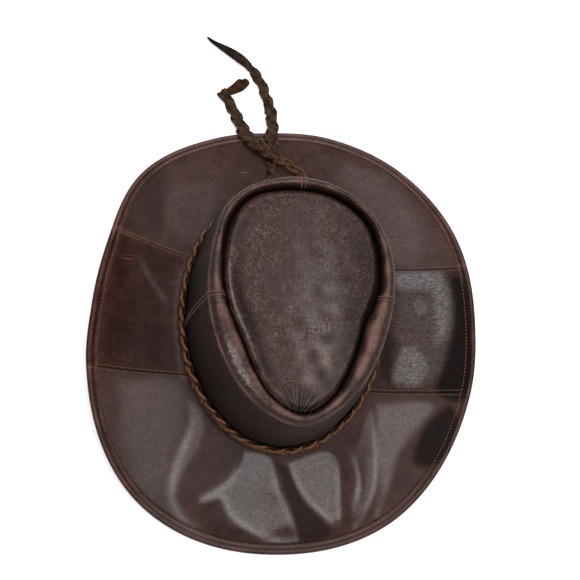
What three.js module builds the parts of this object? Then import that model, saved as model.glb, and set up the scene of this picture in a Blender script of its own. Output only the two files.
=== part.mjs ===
// Leather bush hat: a four-panel brim with a rolled edge, a crown side of three panels that roll over at
// the crest, a teardrop tip sunk inside them, and a plaited leather band whose two free ends lie behind.
// Millimetres, +Z up, front of the hat towards -Y, resting on z = 0.
import * as THREE from 'three';
import { mergeVertices } from 'three/addons/utils/BufferGeometryUtils.js';

// Head opening
const HEAD_WIDTH = 156;
const HEAD_LENGTH = 208;

// Leather
const CROWN_LEATHER = 2;
const BRIM_LEATHER = 2.5;
const SEAM_GAP = 0.3;

// Crown
const CROWN_HEIGHT = 100;
const CREST_HALF_LENGTH = 90;
const CREST_SHIFT_X = 4.5;
const CREST_SHIFT_Y = 5;
const FOLD_DROP = 7;
const ROLL_WIDTH = 10;
const GROOVE_WIDTH = 9;
const GROOVE_DEPTH = 15;
const WALL_BULGE = 2.5;
const TIP_SINK = 4.5;
const TIP_DOME = 3;
const TIP_TURN_DOWN = 3.5;
const TIP_DIMPLE = 4;

// Brim
const BRIM_WIDTH = 85;
const BRIM_DROP = 16;
const SIDE_RISE = 30;
const BRIM_SAG = 4.5;
const BRIM_WAVE_HEIGHT = 1.6;
const EDGE_BEAD = 4.4;
const EDGE_FLATTEN = 1.3;
const STITCH_INSET = 7.5;

// Plaited band and its free ends
const BAND_HEIGHT = 11.5;
const BAND_THICKNESS = 5.2;
const BAND_LOBES = 45;
const LOBE_SWELL = 0.8;
const TAIL_WIDTH = 11.5;
const TAIL_THICKNESS = 4.2;
const TAIL_END_LENGTH = 20;
const TAIL_END_WIDTH = 11;
const TAIL_END_THICKNESS = 2;

// How finely the leather is faceted: steps once round, a whole number of which reaches each crown seam
const STEPS_ROUND = 60;

// Crest of the crown by compass angle round its middle. Reach of its outer fold, width of its rolled rim
// and width of the groove inside it are shares of CREST_HALF_LENGTH, ROLL_WIDTH and GROOVE_WIDTH.
const CREST = [
  { at: -90, reach: 1.165, roll: 0.85, groove: 0.29 },
  { at: -75, reach: 1.075, roll: 1.0, groove: 0.24 },
  { at: -60, reach: 0.972, roll: 1.55, groove: 0.33 },
  { at: -45, reach: 0.877, roll: 1.72, groove: 0.33 },
  { at: -30, reach: 0.815, roll: 1.79, groove: 0.33 },
  { at: -15, reach: 0.79, roll: 1.53, groove: 0.45 },
  { at: 0, reach: 0.788, roll: 1.07, groove: 0.54 },
  { at: 15, reach: 0.817, roll: 1.02, groove: 0.4 },
  { at: 30, reach: 0.857, roll: 0.82, groove: 0.44 },
  { at: 45, reach: 0.9, roll: 0.6, groove: 0.36 },
  { at: 60, reach: 0.938, roll: 0.61, groove: 0.3 },
  { at: 75, reach: 0.966, roll: 0.72, groove: 0.22 },
  { at: 90, reach: 0.983, roll: 0.83, groove: 0.2 },
  { at: 105, reach: 0.992, roll: 0.74, groove: 0.22 },
  { at: 120, reach: 0.993, roll: 0.62, groove: 0.26 },
  { at: 135, reach: 0.958, roll: 0.76, groove: 0.38 },
  { at: 150, reach: 0.872, roll: 0.76, groove: 0.44 },
  { at: 165, reach: 0.826, roll: 1.0, groove: 0.3 },
  { at: 180, reach: 0.806, roll: 1.12, groove: 0.3 },
  { at: 195, reach: 0.818, roll: 1.42, groove: 0.22 },
  { at: 210, reach: 0.852, roll: 1.7, groove: 0.2 },
  { at: 225, reach: 0.92, roll: 1.88, groove: 0.27 },
  { at: 240, reach: 1.013, roll: 1.7, groove: 0.23 },
  { at: 255, reach: 1.11, roll: 1.2, groove: 0.22 },
];

// Crown side from the brim up: share of the wall's height
const WALL_RUNGS = [0, 0.3, 0.62, 0.86];
// Then over the crest and down into the groove: share of the roll's width inwards, and share of FOLD_DROP
const ROLL_RUNGS = [
  { in: 0, drop: 1 },
  { in: 0.1, drop: 0.45 },
  { in: 0.35, drop: 0.06 },
  { in: 0.62, drop: 0 },
  { in: 0.86, drop: 0.2 },
  { in: 1, drop: 0.85 },
];

// Tip from its middle out: share of its reach, and shares of TIP_DOME and TIP_TURN_DOWN in height
const TIP_RUNGS = [
  { out: 0, dome: 1, turn: 0 },
  { out: 0.4, dome: 0.9, turn: 0 },
  { out: 0.72, dome: 0.5, turn: 0 },
  { out: 0.93, dome: 0.1, turn: 0.15 },
  { out: 1, dome: 0, turn: 1 },
];
// Shallow dimples pressed into the tip: place as shares of CREST_HALF_LENGTH, share of TIP_DIMPLE, and spread
const TIP_DIMPLES = [
  { x: -0.34, y: 0.05, depth: 1, spread: 0.3 },
  { x: 0.02, y: -0.62, depth: 0.6, spread: 0.22 },
];

// Brim's width by compass angle round the crown, as a share of BRIM_WIDTH
const BRIM_OUTLINE = [
  { at: -165, width: 0.967 },
  { at: -130, width: 1.11 },
  { at: -90, width: 0.99 },
  { at: -55, width: 1.088 },
  { at: -20, width: 1.028 },
  { at: 0, width: 0.984 },
  { at: 30, width: 1.022 },
  { at: 52, width: 0.97 },
  { at: 75, width: 0.845 },
  { at: 92, width: 0.775 },
  { at: 108, width: 0.83 },
  { at: 133, width: 0.96 },
  { at: 157, width: 0.873 },
  { at: 178, width: 0.885 },
];
// Soft waves that wear left in the brim: share of BRIM_WAVE_HEIGHT, and half width in degrees
const BRIM_WAVES = [
  { at: -118, lift: 1, spread: 12 },
  { at: -96, lift: -0.8, spread: 9 },
  { at: -72, lift: 0.9, spread: 10 },
  { at: -48, lift: -1, spread: 14 },
  { at: 5, lift: 1, spread: 16 },
  { at: 172, lift: -0.9, spread: 18 },
];
// Brim's section near its edge: shares of EDGE_BEAD inwards from the edge and in half thickness
const BEAD_RUNGS = [
  { in: 0, half: 0.2 },
  { in: 0.16, half: 0.4 },
  { in: 0.5, half: 0.5 },
  { in: 0.84, half: 0.4 },
  { in: 1.1, half: 0.22 },
];
// Then the flat leather, by share of the brim's width from the crown out
const BRIM_RUNGS = [0.82, 0.45, 0.15, 0];

// Seams of the brim by compass angle at the edge and at the crown
const BRIM_PANELS = [
  { name: 'brim_panel_right', from: { edge: -20, crown: -41 }, to: { edge: 17, crown: 33 } },
  { name: 'brim_panel_back', from: { edge: 17, crown: 33 }, to: { edge: 152.5, crown: 145 } },
  { name: 'brim_panel_left', from: { edge: 152.5, crown: 145 }, to: { edge: 195.5, crown: 214 } },
  { name: 'brim_panel_front', from: { edge: 195.5, crown: 214 }, to: { edge: 340, crown: 319 } },
];
const CROWN_PANELS = [
  { name: 'crown_side_back_right', from: -6, to: 90 },
  { name: 'crown_side_back_left', from: 90, to: 186 },
  { name: 'crown_side_front', from: 186, to: 354 },
];

// Free ends of the band, from the band over the back of the brim and along the surface that the hat is on
const LONG_TAIL_ROUTE = [
  [-4, 115, 19.6], [-4.7, 126, 17], [-6.1, 138, 13.9], [-6.8, 152, 10.3], [-6.4, 164, 7.6],
  [-6, 173, 6.2], [-6, 181, 4.1], [-6.6, 189.5, 2.4], [-9.3, 200.5, 2.2], [-13.2, 212, 2.2],
  [-19, 223.8, 2.2], [-26.6, 233.6, 2.2], [-34.6, 240.6, 2.2], [-43.4, 246.4, 2.2],
  [-52.4, 251.4, 2.2], [-59.2, 255.4, 2.2], [-64, 259.3, 2.2],
];
const SHORT_TAIL_ROUTE = [
  [27, 112, 21.5], [21.5, 123, 19.5], [15, 131.5, 18.4], [7, 137.5, 18], [-1.7, 142.4, 17.6],
  [-12, 149.5, 16.6], [-21, 157, 13.8], [-28.2, 165.4, 9.6], [-32.8, 174, 6.6], [-36, 181.5, 4.3],
  [-39, 189, 2.4], [-42.9, 197, 2.2], [-47.4, 204, 2.2], [-50.8, 208.6, 2.2],
];

const BASE_HALF_WIDTH = HEAD_WIDTH / 2 + CROWN_LEATHER;
const BASE_HALF_LENGTH = HEAD_LENGTH / 2 + CROWN_LEATHER;
const CREST_Z = BRIM_DROP + CROWN_HEIGHT;
const UP = new THREE.Vector3(0, 0, 1);

const leather = new THREE.MeshStandardMaterial({ color: '#3f2a26', roughness: 0.42, metalness: 0 });
const tipLeather = new THREE.MeshStandardMaterial({ color: '#4a3833', roughness: 0.55, metalness: 0 });
const bandLeather = new THREE.MeshStandardMaterial({ color: '#6b4524', roughness: 0.8, metalness: 0 });
const strapLeather = new THREE.MeshStandardMaterial({ color: '#3a2c24', roughness: 0.7, metalness: 0 });

function heading(degrees) {
  const angle = THREE.MathUtils.degToRad(degrees);
  return new THREE.Vector3(Math.cos(angle), Math.sin(angle), 0);
}

// One column of a table read at any compass angle, as a smooth closed curve through its rows
function readRound(table, column, degrees) {
  const rows = [...table].sort((a, b) => a.at - b.at);
  const count = rows.length;
  const row = (i) => {
    const turn = Math.floor(i / count);
    const { at, [column]: value } = rows[i - turn * count];
    return { at: at + 360 * turn, value };
  };
  const slope = (i) => (row(i + 1).value - row(i - 1).value) / (row(i + 1).at - row(i - 1).at);
  const at = rows[0].at + THREE.MathUtils.euclideanModulo(degrees - rows[0].at, 360);
  let i = 0;
  while (row(i + 1).at <= at) i += 1;
  const span = row(i + 1).at - row(i).at;
  const t = (at - row(i).at) / span;
  const start = (1 + 2 * t) * (1 - t) ** 2 * row(i).value + t * (1 - t) ** 2 * span * slope(i);
  const end = (3 - 2 * t) * t ** 2 * row(i + 1).value + (t - 1) * t ** 2 * span * slope(i + 1);
  return start + end;
}

// Sum of the table's soft bumps at a compass angle
function wave(degrees) {
  return BRIM_WAVES.reduce((sum, { at, lift, spread }) => {
    const away = THREE.MathUtils.euclideanModulo(degrees - at + 180, 360) - 180;
    return sum + BRIM_WAVE_HEIGHT * lift * Math.exp(-((away / spread) ** 2));
  }, 0);
}

// A closed solid from sections that each hold matching outer and inner points. A ring joins its last
// section to its first, and anything else is capped at both ends.
function solid(sections, ring) {
  const rungs = sections[0].outer.length;
  const loops = sections.map(({ outer, inner }) => [...outer, ...[...inner].reverse()]);
  const positions = [];
  const triangle = (a, b, c) => {
    if (a.equals(b) || b.equals(c) || c.equals(a)) return;
    positions.push(...a.toArray(), ...b.toArray(), ...c.toArray());
  };
  const quad = (a, b, c, d) => {
    triangle(a, b, c);
    triangle(a, c, d);
  };
  const around = ring ? loops.length : loops.length - 1;
  for (let i = 0; i < around; i += 1) {
    const here = loops[i];
    const next = loops[(i + 1) % loops.length];
    for (let k = 0; k < here.length; k += 1) {
      const up = (k + 1) % here.length;
      quad(here[k], next[k], next[up], here[up]);
    }
  }
  if (!ring) {
    const first = sections[0];
    const last = sections[sections.length - 1];
    for (let k = 0; k < rungs - 1; k += 1) {
      quad(first.outer[k], first.outer[k + 1], first.inner[k + 1], first.inner[k]);
      quad(last.outer[k], last.inner[k], last.inner[k + 1], last.outer[k + 1]);
    }
  }
  const geometry = new THREE.BufferGeometry();
  geometry.setAttribute('position', new THREE.Float32BufferAttribute(positions, 3));
  const merged = mergeVertices(geometry, 1e-4);
  merged.computeVertexNormals();
  return merged;
}

// Outward normals of a surface along one section, from the surface a little to each side of it
function normals(surface, degrees, count) {
  const nudge = 0.5;
  const side = (turn) => Array.from({ length: count }, (_, k) => surface(degrees + turn, k));
  const before = side(-nudge);
  const here = side(0);
  const after = side(nudge);
  return here.map((_, k) => {
    const along = new THREE.Vector3().subVectors(here[Math.min(k + 1, count - 1)], here[Math.max(k - 1, 0)]);
    const round = new THREE.Vector3().subVectors(after[k], before[k]);
    const normal = round.cross(along);
    return normal.lengthSq() > 1e-12 ? normal.normalize() : UP.clone();
  });
}

// Draws a section back from a seam by half the seam's gap
function drawBack(points, surface, degrees, towards) {
  const nudge = 0.5 * towards;
  return points.map((point, k) => {
    const step = new THREE.Vector3().subVectors(surface(degrees + nudge, k), surface(degrees, k));
    return point.clone().addScaledVector(step.normalize(), SEAM_GAP / 2);
  });
}

// Crown side: the wall stands on an oval and leans in to the teardrop crest
function basePoint(degrees, clearance) {
  const { x, y } = heading(degrees);
  const reach = 1 / Math.hypot(x / (BASE_HALF_WIDTH + clearance), y / (BASE_HALF_LENGTH + clearance));
  return heading(degrees).multiplyScalar(reach);
}

function crestReach(degrees, inwards) {
  const reach = CREST_HALF_LENGTH * readRound(CREST, 'reach', degrees);
  return reach - inwards * ROLL_WIDTH * readRound(CREST, 'roll', degrees);
}

function crestPoint(degrees, reach, z) {
  return heading(degrees).multiplyScalar(reach).add(new THREE.Vector3(CREST_SHIFT_X, CREST_SHIFT_Y, z));
}

function wallPoint(degrees, share) {
  const foot = basePoint(degrees, 0).setZ(BRIM_DROP - BRIM_LEATHER / 2);
  const fold = crestPoint(degrees, crestReach(degrees, 0), CREST_Z - FOLD_DROP);
  const bulge = WALL_BULGE * Math.sin(Math.PI * share);
  return foot.lerp(fold, share).addScaledVector(heading(degrees), bulge);
}

function crownSurface(degrees, rung) {
  if (rung < WALL_RUNGS.length) return wallPoint(degrees, WALL_RUNGS[rung]);
  const roll = ROLL_RUNGS[rung - WALL_RUNGS.length];
  if (roll) return crestPoint(degrees, crestReach(degrees, roll.in), CREST_Z - FOLD_DROP * roll.drop);
  return crestPoint(degrees, crestReach(degrees, 1), CREST_Z - GROOVE_DEPTH);
}

function crownPanel({ from, to }) {
  const rungs = WALL_RUNGS.length + ROLL_RUNGS.length + 1;
  const steps = Math.round(((to - from) * STEPS_ROUND) / 360);
  const sections = Array.from({ length: steps + 1 }, (_, i) => {
    const degrees = from + ((to - from) * i) / steps;
    const facing = normals(crownSurface, degrees, rungs);
    const outer = facing.map((_, k) => crownSurface(degrees, k));
    const inner = outer.map((point, k) => point.clone().addScaledVector(facing[k], -CROWN_LEATHER));
    const towards = { 0: 1, [steps]: -1 }[i];
    if (!towards) return { outer, inner };
    return {
      outer: drawBack(outer, crownSurface, degrees, towards),
      inner: drawBack(inner, crownSurface, degrees, towards),
    };
  });
  return solid(sections, false);
}

// Crown tip: a dimpled teardrop whose edge turns down to meet the foot of the groove
function tipSurface(degrees, rung) {
  const groove = GROOVE_WIDTH * readRound(CREST, 'groove', degrees);
  const edge = crestReach(degrees, 1) - groove;
  const top = CREST_Z - TIP_SINK;
  if (rung === TIP_RUNGS.length) {
    return crestPoint(degrees, crestReach(degrees, 1) - SEAM_GAP, CREST_Z - GROOVE_DEPTH);
  }
  const { out, dome, turn } = TIP_RUNGS[rung];
  const point = crestPoint(degrees, edge * out, top + TIP_DOME * dome - TIP_TURN_DOWN * turn);
  const dimple = TIP_DIMPLES.reduce((sum, { x, y, depth, spread }) => {
    const away = Math.hypot(point.x / CREST_HALF_LENGTH - x, point.y / CREST_HALF_LENGTH - y);
    return sum + TIP_DIMPLE * depth * Math.exp(-((away / spread) ** 2));
  }, 0);
  return point.setZ(point.z - dimple * (1 - out ** 4));
}

function crownTip() {
  const rungs = TIP_RUNGS.length + 1;
  const sections = Array.from({ length: STEPS_ROUND }, (_, i) => {
    const degrees = (360 * i) / STEPS_ROUND;
    const facing = normals(tipSurface, degrees, rungs).map((normal) => normal.negate());
    const inner = facing.map((_, k) => tipSurface(degrees, k));
    facing[0] = UP.clone();
    const outer = inner.map((point, k) => point.clone().addScaledVector(facing[k], -CROWN_LEATHER));
    return { outer, inner };
  });
  return solid(sections, true);
}

// Brim: leather that falls to the front and back and curls up at the sides, with a bead rolled round a wire
function brimMiddle(degrees, share, crownDegrees) {
  const foot = basePoint(crownDegrees, SEAM_GAP);
  const width = BRIM_WIDTH * readRound(BRIM_OUTLINE, 'width', degrees);
  const rim = basePoint(degrees, SEAM_GAP).addScaledVector(heading(degrees), width);
  const sideways = Math.abs(heading(degrees).x);
  const edgeZ = EDGE_BEAD / 2 - EDGE_FLATTEN + SIDE_RISE * sideways ** 3;
  const sag = BRIM_SAG * sideways ** 2 * Math.sin(Math.PI * share);
  const ripple = wave(degrees) * Math.sin(Math.PI * share);
  const z = THREE.MathUtils.lerp(BRIM_DROP, edgeZ, share ** 1.2) - sag + ripple;
  return foot.lerp(rim, share).setZ(z);
}

function brimRungs(degrees) {
  const width = BRIM_WIDTH * readRound(BRIM_OUTLINE, 'width', degrees);
  const bead = BEAD_RUNGS.map((row) => {
    return { share: 1 - (row.in * EDGE_BEAD) / width, half: row.half * EDGE_BEAD };
  });
  const stitch = { share: 1 - STITCH_INSET / width, half: 0.42 * BRIM_LEATHER };
  const flat = BRIM_RUNGS.map((share) => ({ share, half: BRIM_LEATHER / 2 }));
  return [...bead, stitch, ...flat];
}

function brimPanel({ from, to }) {
  const span = to.edge - from.edge;
  const steps = Math.ceil((Math.max(span, to.crown - from.crown) * STEPS_ROUND) / 360);
  const sections = Array.from({ length: steps + 1 }, (_, i) => {
    const degrees = from.edge + (span * i) / steps;
    const crownDegrees = THREE.MathUtils.mapLinear(degrees, from.edge, to.edge, from.crown, to.crown);
    const rungs = brimRungs(degrees);
    const surface = (angle, k) => brimMiddle(angle, rungs[k].share, crownDegrees + angle - degrees);
    const facing = normals(surface, degrees, rungs.length);
    facing[rungs.length - 1] = UP;
    const lay = (side) => rungs.map(({ half }, k) => {
      const point = surface(degrees, k).addScaledVector(facing[k], side * half);
      return point.setZ(Math.max(point.z, 0));
    });
    const towards = { 0: 1, [steps]: -1 }[i];
    const outer = lay(1);
    const inner = lay(-1);
    if (!towards) return { outer, inner };
    return {
      outer: drawBack(outer, surface, degrees, towards),
      inner: drawBack(inner, surface, degrees, towards),
    };
  });
  return solid(sections, false);
}

// Plaited band: a ring that leans on the foot of the wall, its edges scalloped by the plait's lobes
function braidedBand() {
  const steps = BAND_LOBES * 2;
  const middleZ = BRIM_DROP + BRIM_LEATHER / 2 + SEAM_GAP + BAND_HEIGHT / 2 + LOBE_SWELL;
  const wallHeight = CREST_Z - FOLD_DROP - BRIM_DROP + BRIM_LEATHER / 2;
  const share = (middleZ - BRIM_DROP + BRIM_LEATHER / 2) / wallHeight;
  const half = { across: BAND_THICKNESS / 2, tall: BAND_HEIGHT / 2 };
  const sections = Array.from({ length: steps }, (_, i) => {
    const degrees = (360 * i) / steps;
    const swell = i % 2 === 0 ? LOBE_SWELL : -LOBE_SWELL;
    const climb = wallPoint(degrees, share + 0.02).sub(wallPoint(degrees, share - 0.02));
    const round = wallPoint(degrees + 0.5, share).sub(wallPoint(degrees - 0.5, share));
    const out = round.cross(climb).normalize();
    climb.normalize();
    const middle = wallPoint(degrees, share).addScaledVector(out, SEAM_GAP + LOBE_SWELL / 2 + half.across);
    const corner = (across, tall) => middle.clone()
      .addScaledVector(out, across * (half.across + (across > 0 ? swell / 2 : 0)))
      .addScaledVector(climb, tall * half.tall + (tall > 0 ? swell : -swell) * Math.abs(tall));
    return {
      outer: [corner(0.5, -1), corner(1, -0.6), corner(1, 0.6), corner(0.5, 1)],
      inner: [corner(-0.5, -1), corner(-1, -0.6), corner(-1, 0.6), corner(-0.5, 1)],
    };
  });
  return solid(sections, true);
}

// A free end of the band: a flat plait swept along its route
function tail(route) {
  const path = new THREE.CatmullRomCurve3(route.map((point) => new THREE.Vector3(...point)));
  const steps = 2 * route.length;
  const standing = Math.abs(path.computeFrenetFrames(steps).normals[0].z) > 0.5;
  const section = new THREE.Shape();
  const sides = 8;
  for (let i = 0; i < sides; i += 1) {
    const angle = (2 * Math.PI * (i + 0.5)) / sides;
    const across = (TAIL_WIDTH / 2) * Math.cos(angle) / Math.cos(Math.PI / sides);
    const thick = (TAIL_THICKNESS / 2) * Math.sin(angle) / Math.cos(Math.PI / sides);
    const corner = standing ? [thick, across] : [across, thick];
    if (i === 0) section.moveTo(...corner);
    else section.lineTo(...corner);
  }
  section.closePath();
  return new THREE.ExtrudeGeometry(section, { steps, bevelEnabled: false, extrudePath: path });
}

// The short end finishes in a flat flap of unplaited leather, which folds out to the right beside its tip
function tailEnd() {
  const outline = new THREE.Shape();
  const half = TAIL_END_WIDTH / 2;
  outline.moveTo(0, -half * 0.6);
  outline.lineTo(TAIL_END_LENGTH * 0.55, -half);
  outline.lineTo(TAIL_END_LENGTH, -half * 0.5);
  outline.lineTo(TAIL_END_LENGTH * 0.95, half * 0.6);
  outline.lineTo(TAIL_END_LENGTH * 0.6, half);
  outline.lineTo(0, half * 0.7);
  outline.closePath();
  return new THREE.ExtrudeGeometry(outline, { depth: TAIL_END_THICKNESS, bevelEnabled: false });
}

function piece(name, geometry, material) {
  const mesh = new THREE.Mesh(geometry, material);
  mesh.name = name;
  return mesh;
}

// The crown and band are shifted so that the hat without its tails stands centred on the origin
const hat = new THREE.Group();
hat.name = 'bush_hat';
const brim = BRIM_PANELS.map((panel) => piece(panel.name, brimPanel(panel), leather));
hat.add(...brim);
hat.add(...CROWN_PANELS.map((panel) => piece(panel.name, crownPanel(panel), leather)));
hat.add(piece('crown_tip', crownTip(), tipLeather));
hat.add(piece('braided_band', braidedBand(), bandLeather));
hat.add(piece('tail_long', tail(LONG_TAIL_ROUTE), strapLeather));
hat.add(piece('tail_short', tail(SHORT_TAIL_ROUTE), strapLeather));

const flap = piece('tail_short_end', tailEnd(), bandLeather);
const [beforeTip, tip] = SHORT_TAIL_ROUTE.slice(-2).map((point) => new THREE.Vector3(...point));
const last = new THREE.Vector3().subVectors(tip, beforeTip).normalize();
const sideways = new THREE.Vector3(last.y, -last.x, 0);
flap.position.copy(tip).setZ(0)
  .addScaledVector(last, -TAIL_END_WIDTH * 0.4)
  .addScaledVector(sideways, TAIL_WIDTH / 2 + SEAM_GAP);
flap.rotation.z = Math.atan2(sideways.y, sideways.x);
hat.add(flap);

const footprint = new THREE.Box3();
brim.forEach((panel) => footprint.expandByObject(panel));
const middle = footprint.getCenter(new THREE.Vector3());
hat.position.set(-middle.x, -middle.y, 0);

export default hat;
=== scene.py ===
"""Leather bush hat with a plaited band, lying on a pale floor and seen from above its front."""

import math

import bmesh
import bpy
import numpy as np
from mathutils import Matrix, Vector


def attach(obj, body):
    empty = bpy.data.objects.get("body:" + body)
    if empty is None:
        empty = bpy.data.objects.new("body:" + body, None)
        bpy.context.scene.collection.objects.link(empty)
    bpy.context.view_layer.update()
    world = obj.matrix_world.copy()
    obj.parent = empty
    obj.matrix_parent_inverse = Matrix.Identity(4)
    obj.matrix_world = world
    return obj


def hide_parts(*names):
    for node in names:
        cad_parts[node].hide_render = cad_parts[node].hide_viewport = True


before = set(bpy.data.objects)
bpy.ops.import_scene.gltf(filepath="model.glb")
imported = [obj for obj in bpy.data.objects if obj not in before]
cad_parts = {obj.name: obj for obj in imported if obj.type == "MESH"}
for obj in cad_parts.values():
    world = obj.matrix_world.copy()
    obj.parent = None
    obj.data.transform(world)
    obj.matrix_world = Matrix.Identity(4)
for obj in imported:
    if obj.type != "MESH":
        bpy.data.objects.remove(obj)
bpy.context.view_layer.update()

# Camera: looks down on the hat from above its front left, 8.5 degrees off straight down to the side and
# 14 degrees to the front, so that the brim's whole outline shows and the tails lie at the top.
camera_data = bpy.data.cameras.new("photo_camera")
camera_data.sensor_width = 36
camera_data.lens = 73.86
camera_data.clip_start = 0.05
camera = bpy.data.objects.new("photo_camera", camera_data)
bpy.context.collection.objects.link(camera)
bpy.context.scene.camera = camera
camera_look = Vector((0.14351, 0.23942, -0.96026)).normalized()
camera_up = Vector((-0.03539, 0.97093, 0.23679)).normalized()
camera_right = camera_look.cross(camera_up).normalized()
camera_up = camera_right.cross(camera_look)
camera_target = Vector((0.00594, 0.03557, 0.016))
camera_turn = Matrix((camera_right, camera_up, -camera_look)).transposed()
camera.matrix_world = Matrix.Translation(camera_target - camera_look) @ camera_turn.to_4x4()


# Free ends of the band: two flat plaits of three suede thongs, which cross behind the crown and lie over
# the back of the brim and along the floor. Dark with handling, with tan cut edges.
# The long one ends in a tight tapered whipping, and the short one starts in loose thin laces.
HAT_SHIFT = np.array([-2.365, 8.764, 0.0])
LONG_TAIL_ROUTE = [
    (-4, 115, 19.6), (-4.7, 126, 17), (-6.1, 138, 13.9), (-6.8, 152, 10.3), (-6.4, 164, 7.6),
    (-6, 173, 6.2), (-6, 181, 4.1), (-6.6, 189.5, 2.4), (-9.3, 200.5, 2.2), (-13.2, 212, 2.2),
    (-19, 223.8, 2.2), (-26.6, 233.6, 2.2), (-34.6, 240.6, 2.2), (-43.4, 246.4, 2.2),
    (-52.4, 251.4, 2.2), (-59.2, 255.4, 2.2), (-64, 259.3, 2.2),
]
SHORT_TAIL_ROUTE = [
    (27, 112, 21.5), (21.5, 123, 19.5), (15, 131.5, 18.4), (7, 137.5, 18), (-1.7, 142.4, 17.6),
    (-12, 149.5, 16.6), (-21, 157, 13.8), (-28.2, 165.4, 9.6), (-32.8, 174, 6.6), (-36, 181.5, 4.3),
    (-39, 189, 2.4), (-42.9, 197, 2.2), (-47.4, 204, 2.2), (-50.8, 208.6, 2.2),
]
TAIL_STEP = 0.55
END_LENGTH = 47
RIB_PITCH = 2.2
# Share of the long tail's tight end from its start, half width and half height in millimetres
END_SIZES = [
    (0, 2.4, 1.2), (0.1, 3.7, 1.9), (0.28, 4.6, 2.0), (0.48, 4.3, 1.95), (0.66, 3.2, 1.8), (0.8, 2.1, 1.5),
    (0.9, 1.7, 1.2), (1, 0.8, 0.6),
]
THONG_SIDES = 14
PLAIT_CRISP = 70


def in_metres(points):
    """Points of the hat in millimetres round its crown, moved to where the hat stands, in metres."""
    return (np.asarray(points, float) + HAT_SHIFT) / 1000


def unit(vectors):
    length = np.linalg.norm(vectors, axis=-1, keepdims=True)
    return vectors / np.maximum(length, 1e-12)


def smooth_route(points, step):
    """A smooth curve through the points, read at even steps along its length."""
    points = np.asarray(points, float)
    ends = [2 * points[0] - points[1], 2 * points[-1] - points[-2]]
    hull = np.vstack([ends[0], points, ends[1]])
    t = np.linspace(0, 1, 24, endpoint=False)[:, None]
    spans = []
    for a, b, c, d in zip(hull, hull[1:], hull[2:], hull[3:]):
        bend = (2 * a - 5 * b + 4 * c - d) * t**2
        twist = (3 * b - a - 3 * c + d) * t**3
        spans.append(0.5 * (2 * b + (c - a) * t + bend + twist))
    fine = np.vstack(spans + [points[-1:]])
    along = np.concatenate([[0], np.cumsum(np.linalg.norm(np.diff(fine, axis=0), axis=1))])
    even = np.linspace(0, along[-1], int(round(along[-1] / step)) + 1)
    return even, np.stack([np.interp(even, along, fine[:, k]) for k in range(3)], axis=1)


def ease(value, start, end):
    """0 before start, 1 after end, and a soft step between."""
    t = np.clip((value - start) / (end - start), 0, 1)
    return t * t * (3 - 2 * t)


def even_noise(positions, size, seed):
    """Smooth random heights about -1 to 1 whose bumps are about the given size."""
    random = np.random.default_rng(seed)
    total = np.zeros(positions.shape[:-1])
    for _ in range(14):
        direction = unit(random.normal(size=positions.shape[-1]))
        rate = 2 * math.pi / (size * random.uniform(1.3, 2.8))
        total += np.sin(positions @ direction * rate + random.uniform(0, 2 * math.pi))
    return total / 3.7


def mesh_piece(name, positions, faces, material, marks=None, crisp=50):
    """A piece from points in metres and faces, with its marks. Crisp is the angle from which edges show."""
    mesh = bpy.data.meshes.new(name)
    mesh.from_pydata(positions.tolist(), [], [list(face) for face in faces])
    for mark, values in (marks or {}).items():
        kind = "FLOAT_VECTOR" if values.ndim == 2 else "FLOAT"
        layer = mesh.attributes.new(mark, kind, "POINT")
        layer.data.foreach_set("vector" if values.ndim == 2 else "value", values.astype(np.float32).ravel())
    shape = bmesh.new()
    shape.from_mesh(mesh)
    bmesh.ops.remove_doubles(shape, verts=shape.verts, dist=2e-7)
    bmesh.ops.dissolve_degenerate(shape, edges=shape.edges, dist=1e-8)
    if shape.calc_volume(signed=True) < 0:
        bmesh.ops.reverse_faces(shape, faces=shape.faces)
    shape.to_mesh(mesh)
    shape.free()
    mesh.shade_smooth()
    mesh.set_sharp_from_angle(angle=math.radians(crisp))
    mesh.materials.append(material)
    piece = bpy.data.objects.new(name, mesh)
    bpy.context.collection.objects.link(piece)
    return piece


def swept(rings, closed):
    """Faces that join matching rings of points one to the next, with the two ends filled."""
    count, sides = rings
    faces = []
    for i in range(count if closed else count - 1):
        here, there = i * sides, (i + 1) % count * sides
        for k in range(sides):
            up = (k + 1) % sides
            faces.append((here + k, here + up, there + up, there + k))
    if not closed:
        faces.append(tuple(reversed(range(sides))))
        faces.append(tuple(range((count - 1) * sides, count * sides)))
    return faces


def grid_of(*amounts):
    """Amounts that run along different ways of a surface, spread over it as one grid of points."""
    return np.stack(np.broadcast_arrays(*amounts), axis=-1)


def thong(middle, across, out, width, thickness, low, ring, seed):
    """One flat thong from its middle line: points, faces, and marks of cut edge, painted shade where it
    dips under, and lay.
    """
    turn = 2 * math.pi * np.arange(THONG_SIDES) / THONG_SIDES
    flat = np.sign(np.cos(turn)) * np.abs(np.cos(turn)) ** 0.75
    thick = np.sign(np.sin(turn)) * np.abs(np.sin(turn)) ** 0.7
    count = len(middle)
    way = np.column_stack([np.arange(count), np.full(count, seed)]) * 1.0
    wide = width * (1 + 0.2 * even_noise(way, 9, seed) + 0.08 * even_noise(way, 3.5, seed + 9))[:, None]
    skew = 0.2 * even_noise(way, 13, seed + 5)[:, None]
    curl = 0.3 * thickness * flat**2
    points = middle[:, None, :] + across[:, None, :] * (flat * wide / 2)[..., None]
    points = points + out[:, None, :] * (thick * thickness / 2 - curl + skew * flat)[..., None]
    steps = np.linalg.norm(np.diff(middle, axis=0, append=middle[:1] if ring else middle[-1:]), axis=1)
    along = np.concatenate([[0], np.cumsum(steps)[:-1]])[:, None]
    marks = {
        "edge": np.tile(np.abs(flat) ** 5, count),
        "low": np.repeat(low, THONG_SIDES),
        "lay": grid_of(along, flat * 3, seed * 7.0).reshape(-1, 3) / 1000,
    }
    return points.reshape(-1, 3), swept((count, THONG_SIDES), ring), marks


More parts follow.
